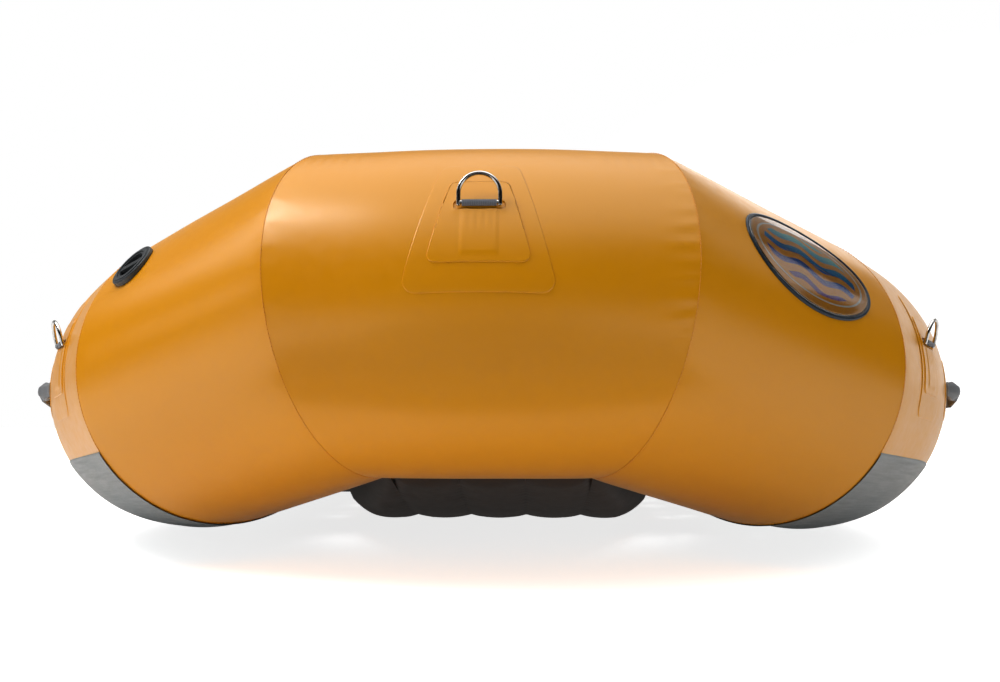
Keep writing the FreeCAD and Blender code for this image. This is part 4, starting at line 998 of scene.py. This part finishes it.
# ---- chafe strips
def strip_line(y):
    """The height of the strip's upper edge, which drops with the tube's own."""
    drop = (TUBE_R + CHAFE_T) * math.sin(math.radians(CHAFE_EDGE_ANGLE))
    aft = np.abs(y)
    knots = [0.0, -KICK_END[1], -KICK_CORNER[1], -ANGLED_END[1], -ANGLED_END[1] + 0.6]
    slope = (ANGLED_END[2] - KICK_CORNER[2]) / (KICK_CORNER[1] - ANGLED_END[1])
    heights = [KICK_END[2], KICK_END[2], KICK_CORNER[2], ANGLED_END[2], ANGLED_END[2] + slope * 0.6]
    return np.interp(aft, knots, heights) - drop


def chafe(path, cut0, brackets):
    """Wear cloth under a tube, from one upper edge round the bottom to the other."""
    t = np.concatenate([[0.0, 0.004, 0.010], np.linspace(0.022, 0.978, 70), [0.990, 0.996, 1.0]])
    lift = np.ones(len(t))
    lift[[0, -1]] = 0.0
    lift[[1, -2]] = 0.75
    count = 90
    low_angle = np.full((count, 1), -math.pi / 2)
    sides = []

    def along(angle):
        """Evenly spread places from the seam, or the path's start, to the strip's end."""
        start = np.full(angle.shape, brackets[0][0])
        if cut0:
            start = crossing(path, angle, cut0, *brackets[0], EAST)
        return start + (brackets[1] - start) * np.linspace(0, 1, count)[:, None]

    for direction in (1, -1):
        reach = np.full((count, 1), math.radians(60.0))
        for _ in range(12):
            angle = low_angle + direction * reach
            s = along(angle)
            points, _n = on_tube(path, s, angle, np.full(angle.shape, TUBE_R + CHAFE_T), EAST)
            centre, _a = path.at(s)
            over = strip_line(points[..., 1]) - centre[..., 2]
            wanted = np.arcsin(np.clip(over / (TUBE_R + CHAFE_T), -0.98, 0.98)) + math.pi / 2
            reach = reach * 0.3 + wanted * 0.7
        sides.append(reach)
    angle = low_angle - sides[1] + (sides[0] + sides[1]) * t
    s = along(angle)
    height = TUBE_R + 0.0003 + (CHAFE_T - 0.0003) * lift + 0 * s
    height = height + 0.00025 * wander(s, angle * TUBE_R, 7, 0.12)
    points, _n = on_tube(path, s, angle, height, EAST)
    points[..., 2] = np.maximum(points[..., 2], 0.0)
    build = Build()
    build.grid(points, stacked(s, angle * TUBE_R), True)
    return build


for side, hand in HANDS:
    node = (f"{hand}_chafe_strip",)
    for end, word in QUARTERS:
        strip = chafe(KICK_PATH, KICK_SEAM, (KICK_ENDS[0], KICK_PATH.length))
        strip.make(f"{hand}_{word}_chafe", CHAFE, "chafe_grey", node, (side, -end))
    strip = chafe(SIDE_PATH, None, ((0.0,), SIDE_PATH.length))
    strip.make(f"{hand}_middle_chafe", CHAFE, "chafe_grey", node, (side, 1))


# ---- floor
FLOOR_WEBS = np.arange(-1.5, 2.0) * FLOOR_PITCH


def web_distance(x):
    return np.abs(x[..., None] - FLOOR_WEBS).min(-1)


def floor_half(x):
    """Half thickness across the floor: crowns between the webs."""
    near = web_distance(x)
    inside = np.abs(x) < FLOOR_WEBS[-1]
    crown = FLOOR_CROWN - FLOOR_SCALLOP * ((near - FLOOR_PITCH / 2) / (FLOOR_PITCH / 2)) ** 2
    out = np.clip((np.abs(x) - FLOOR_WEBS[-1]) / (FLOOR_HALF - FLOOR_WEBS[-1]), 0, 1)
    edge = (FLOOR_CROWN - FLOOR_SCALLOP * (1 - out / 0.36) ** 2) * np.ones_like(x)
    return np.where(inside, crown, np.minimum(edge, FLOOR_CROWN))


def floor_frame(v):
    """The floor's middle surface at a distance v from the middle of the boat."""
    run = np.abs(v)
    turn = np.clip((run - FLAT_HALF) / FLOOR_BEND_R, 0, FLOOR_RAMP)
    over = np.maximum(0, run - FLAT_HALF - FLOOR_BEND_R * FLOOR_RAMP)
    y = np.minimum(run, FLAT_HALF) + FLOOR_BEND_R * np.sin(turn) + over * math.cos(FLOOR_RAMP)
    z = FLOOR_MID + FLOOR_BEND_R * (1 - np.cos(turn)) + over * math.sin(FLOOR_RAMP)
    return y * np.sign(v), z, turn * np.sign(v)


def floor_mesh():
    """The welded floor's two skins, closed round their edge."""
    run = 0.0
    while floor_frame(np.array([run]))[0][0] < FLOOR_NOSE:
        run += 0.0005
    v = np.linspace(-run, run, 420)
    edges = 1 - (1 - np.linspace(0, 1, 12)[:-1]) ** 2
    u = np.concatenate([-1 + edges * 0.18, np.linspace(-0.82, 0.82, 150), 1 - edges[::-1] * 0.18])
    y, z, turn = floor_frame(v)
    half = np.interp(np.abs(y), [0, FLOOR_TAPER, FLOOR_NOSE], [FLOOR_HALF, FLOOR_HALF, FLOOR_NOSE_HALF])
    half = np.minimum(half, FLOOR_HALF)
    x = u * half[:, None]
    across = (half[:, None] - np.abs(x)) / 0.075
    ahead = ((run - np.abs(v)) / 0.060)[:, None] + 0 * x
    near = np.minimum(across, ahead)
    closing = np.sqrt(np.clip(1 - (1 - np.clip(near, 0, 1)) ** 2, 0, 1))
    stitch = np.exp(-(web_distance(x) / 0.010) ** 2)
    phase = v[:, None] * 2 * math.pi / 0.030 + 2 * wander(x, v[:, None], 3, 0.2)
    dimple = 0.0016 * stitch * (0.6 + 0.4 * np.sin(phase))
    tall = (floor_half(x) - dimple) * closing
    tall = tall + 0.0007 * wander(x, v[:, None], 8, 0.09) * closing * (tall < FLOOR_CROWN - 0.0012)
    build = Build()
    for sign in (1, -1):
        rise = np.minimum(tall, FLOOR_CROWN) * sign
        yy = y[:, None] - rise * np.sin(turn)[:, None]
        zz = z[:, None] + rise * np.cos(turn)[:, None]
        build.grid(stacked(x, yy, zz), stacked(x, v[:, None] + (5.0 if sign < 0 else 0.0)), sign > 0)
    build.make("floor_skin_welded", FLOOR, "floor_fabric", ("floor_skin",))


floor_mesh()


# ---- thwarts and collars
def side_face(z, out):
    """How far across the boat the side tube's inner face is at a height, standing out a little."""
    return SIDE_X - np.sqrt((TUBE_R + out) ** 2 - (z - SIDE_Z) ** 2)


def thwart_mesh(end, word):
    """A thwart's skin with its two tapes, and the collars that join it to the side tubes."""
    turn = np.linspace(-math.pi, math.pi, 161)

    def height(radius, angle=turn):
        return THWART_Z + radius * np.sin(angle)

    def round_it(x, radius, angle=turn):
        return stacked(x, end * THWART_Y + radius * np.cos(angle), height(radius, angle))

    stop = side_face(height(THWART_R), 0) + 0.0008
    t = spaced(2 * float(stop.mean()), 0.004, 0.018, 0.06) * 2 - 1
    x = stop * t[:, None]
    near = stop - np.abs(x)
    angle = turn + 0 * x
    swell = -0.0022 * np.exp(-near / 0.020) + 0.0006 * wander(x, angle * THWART_R, 21 + end, 0.15)
    fold = np.sin(angle * 15 + 2.0 * wander(x, angle, 4, 0.4)) * np.exp(-((near - 0.055) / 0.05) ** 2)
    radius = THWART_R + swell + 0.0009 * fold * (near > 0.02)
    build = Build()
    build.grid(round_it(x, radius, angle), stacked(x, angle * THWART_R))
    across = np.array([-1, -0.9, -0.75, 0, 0.75, 0.9, 1])[:, None] * 0.016
    lift = np.array([0, 0.6, 1, 1, 1, 0.6, 0])[:, None] * 0.0011
    for side in (-1, 1):
        xs = side * 0.16 + across
        build.grid(round_it(xs, THWART_R - 0.0004 + lift), stacked(xs, turn * THWART_R))
    build.make(f"{word}_thwart_skin", HULL, "hull_fabric", (f"{word}_thwart",))
    rows = [round_it(side_face(height(far), out), far) for far, out in (
        (0.1800, 0.0002), (0.1797, 0.0009), (0.1788, 0.0015), (0.175, 0.0015), (0.165, 0.0015),
        (0.155, 0.0016), (0.149, 0.0022))]
    root = side_face(height(0.1425), 0.004)
    tip = np.minimum(SIDE_X - COLLAR_SLEEVE, root - 0.004)
    for part, out in ((0.0, 0.0034), (0.12, 0.0018), (0.4, 0.0015), (0.8, 0.0015), (0.97, 0.0013), (1.0, 0.0)):
        rows.append(round_it(root + (tip - root) * part, THWART_R + out))
    for side, hand in HANDS:
        collar = Build()
        collar.grid(np.stack(rows), stacked(np.arange(len(rows))[:, None] * 0.01, turn * 0.16), True)
        collar.make(f"{word}_{hand}_collar", HULL, "hull_fabric", ("thwart_collars",), (side, 1))


for end, word in QUARTERS:
    thwart_mesh(end, word)


# ---- badge
def badge():
    """The oval badge: its moulded rim, printed face, bright inner line and clear dome."""
    site = Site(ANGLED_PATH, OVER + 0.180, OBLIQUE, 28.0)
    loop = np.linspace(0, 2 * math.pi, 145)

    def layer(build, rings, flip=site.left_handed):
        """Adds ovals, each given as its inset from the rim's outside and its height over the tube."""
        inset, lift = np.array(rings).T[..., None]
        x = (BADGE_LONG - inset) * np.cos(loop)
        y = (BADGE_TALL - inset) * np.sin(loop)
        along = x * math.cos(BADGE_TILT) + y * math.sin(BADGE_TILT)
        up = -x * math.sin(BADGE_TILT) + y * math.cos(BADGE_TILT)
        build.grid(site.surface(along, up, lift), stacked(x / 0.135, y / 0.077), flip)
        return build

    rim = layer(Build(), [(0.0, 0.0002), (0.0001, 0.0018), (0.0010, 0.0028), (0.0024, 0.0032), (0.0040, 0.0032),
                          (0.0054, 0.0027), (0.0060, 0.0016), (0.0060, 0.0006)])
    rim.make("badge_rim_moulding", RIM, "badge_rim", ("badge_rim",))
    plate = layer(Build(), [(0.006 + (0.0765 - 0.0001) * t, 0.0010) for t in np.linspace(0, 1, 24)])
    plate.make("badge_face", PRINT, "badge_print", ("badge_plate",))
    edge = layer(Build(), [(0.0072, 0.0011), (0.0072, 0.0014), (0.0078, 0.0016), (0.0086, 0.0014),
                           (0.0086, 0.0011)])
    edge.make("badge_inner_line", STEEL, "badge_rim")
    crown = [(0.0064 + 0.0764 * t, 0.0018 + 0.0009 * math.sqrt(1 - (1 - t) ** 2) ** 0.7)
             for t in np.linspace(0, 1, 24)]
    dome = layer(Build(), [(0.0062, 0.0012)] + crown)
    layer(dome, [(0.0062 + 0.0766 * t, 0.0012) for t in np.linspace(0, 1, 12)], not site.left_handed)
    dome.make("badge_clear_dome", DOME, "clear_dome", ("badge_dome",))


badge()

# ---- finishes of the CAD nodes that show
FINISHES = {"valve_gaskets": GASKET, "valve_springs": SPRING, "relief_valve_spring": SPRING,
            "chamber_baffles": HULL, "floor_webs": FLOOR, "floor_flange": FLOOR}
for name, node in frame["nodes"].items():
    finish = STEEL if name.endswith("_d_ring") else VALVE if "valve" in name else HULL
    finish = FINISHES.get(name, finish)
    node.data.materials.clear()
    node.data.materials.append(finish)


# ---- the studio
FLOOR_GLOW = 0.14


def lit_floor():
    """A pale floor lit from within, so that it meets the white wall without a line."""
    m = Maker("studio_floor_pale")
    m.set(Roughness=0.9, Base_Color=(0.86, 0.86, 0.86, 1), Emission_Color=(1, 1, 1, 1))
    away = m.add("VectorMath", operation="LENGTH")
    m.link(m.objects(), away.inputs[0])
    seen = m.between(away.outputs["Value"], 2.6, 7.0, 0.80, 1.0)
    path = m.add("LightPath")
    glow = m.math("MAXIMUM", m.math("MULTIPLY", seen, path.outputs["Is Camera Ray"]), FLOOR_GLOW)
    m.link(glow, m.shader.inputs["Emission Strength"])
    return m.finish()


def flag_black():
    m = Maker("studio_flag_black")
    m.set(Roughness=1.0)
    return m.finish(m.ramp(m.noise(0.7, 2.0), [(0.3, (0.01 * 0.985,) * 3), (0.7, (0.01,) * 3)]))


bpy.ops.mesh.primitive_plane_add(size=40.0, location=(0, 0, -0.0005))
ground = bpy.context.object
ground.name = "studio_floor"
ground.data.materials.append(lit_floor())


for name, place, target, width, height, power in (
        ("over_left", (-1.6, -2.4, 2.3), (-0.4, -1.9, 0.4), 1.0, 1.0, 27),
        ("left_high", (-3.0, -1.4, 2.2), (-0.45, -1.8, 0.42), 1.2, 1.2, 9),
        ("left_strip", (-3.4, -2.2, 1.0), (-0.45, -1.9, 0.42), 1.2, 0.32, 2.0),
        ("right_high", (3.0, -1.4, 2.2), (0.45, -1.8, 0.42), 1.2, 1.2, 3),
        ("right_window", (2.3, 2.3, 2.8), (0.4, -1.8, 0.6), 2.2, 1.2, 13)):
    data = bpy.data.lights.new(name, "AREA")
    data.shape = "RECTANGLE"
    data.size = width
    data.size_y = height
    data.energy = power
    light = bpy.data.objects.new(name, data)
    bpy.context.scene.collection.objects.link(light)
    light.location = place
    light.rotation_euler = (Vector(target) - Vector(place)).to_track_quat("-Z", "Y").to_euler()

# A black flag on the floor between the camera and the bow, seen only in reflections
bpy.ops.mesh.primitive_plane_add(size=1.0, location=(0.0, -4.05, 0.001))
flag = bpy.context.object
flag.name = "studio_flag"
flag.scale = (1.5, 4.0, 1.0)
flag.data.materials.append(flag_black())
flag.visible_camera = False
flag.visible_diffuse = False
flag.visible_transmission = False
flag.visible_shadow = False


def studio_world():
    """White to the camera. Round the boat, pale walls behind it and a dark room in front."""
    world = bpy.data.worlds.new("studio_world")
    bpy.context.scene.world = world
    world.use_nodes = True
    n = Nodes(world.node_tree)
    background = n.tree.nodes["Background"]
    background.inputs["Color"].default_value = (1, 1, 1, 1)
    place = n.add("TexCoord")
    split = n.add("SeparateXYZ")
    n.link(place.outputs["Generated"], split.inputs["Vector"])
    behind = n.between(split.outputs["Y"], 0.35, 0.70, 0.0, 1.0, "SMOOTHSTEP")
    low = n.between(split.outputs["Z"], 0.22, 0.50, 1.0, 0.28, "SMOOTHSTEP")
    right = n.between(split.outputs["X"], -0.3, 0.3, 0.60, 1.20, "SMOOTHSTEP")
    walls = n.math("MULTIPLY", n.math("MULTIPLY", behind, low), right)
    ceiling = n.between(split.outputs["Z"], 0.55, 0.95, 0.01, 1.80, "SMOOTHSTEP")
    light = n.math("ADD", walls, ceiling)
    seen = n.add("LightPath").outputs["Is Camera Ray"]
    n.link(n.math("MAXIMUM", light, seen), background.inputs["Strength"])


studio_world()

# The camera as fitted to the photograph's outline and seams
CAMERA_PLACE = (0.0722, -3.5564, 0.2575)
CAMERA_TILT = 0.0682
CAMERA_PAN = 0.0274
CAMERA_LENS = 39.87
camera_data = bpy.data.cameras.new("photo_camera")
camera_data.sensor_width = 36.0
camera_data.lens = CAMERA_LENS
camera_data.clip_start = 0.02
camera_data.clip_end = 100.0
camera = bpy.data.objects.new("photo_camera", camera_data)
bpy.context.scene.collection.objects.link(camera)
camera.location = CAMERA_PLACE
camera.rotation_euler = (math.pi / 2 + CAMERA_TILT, 0.0, CAMERA_PAN)
bpy.context.scene.camera = camera
bpy.context.scene.view_settings.view_transform = "Standard"
bpy.context.scene.view_settings.gamma = 0.8
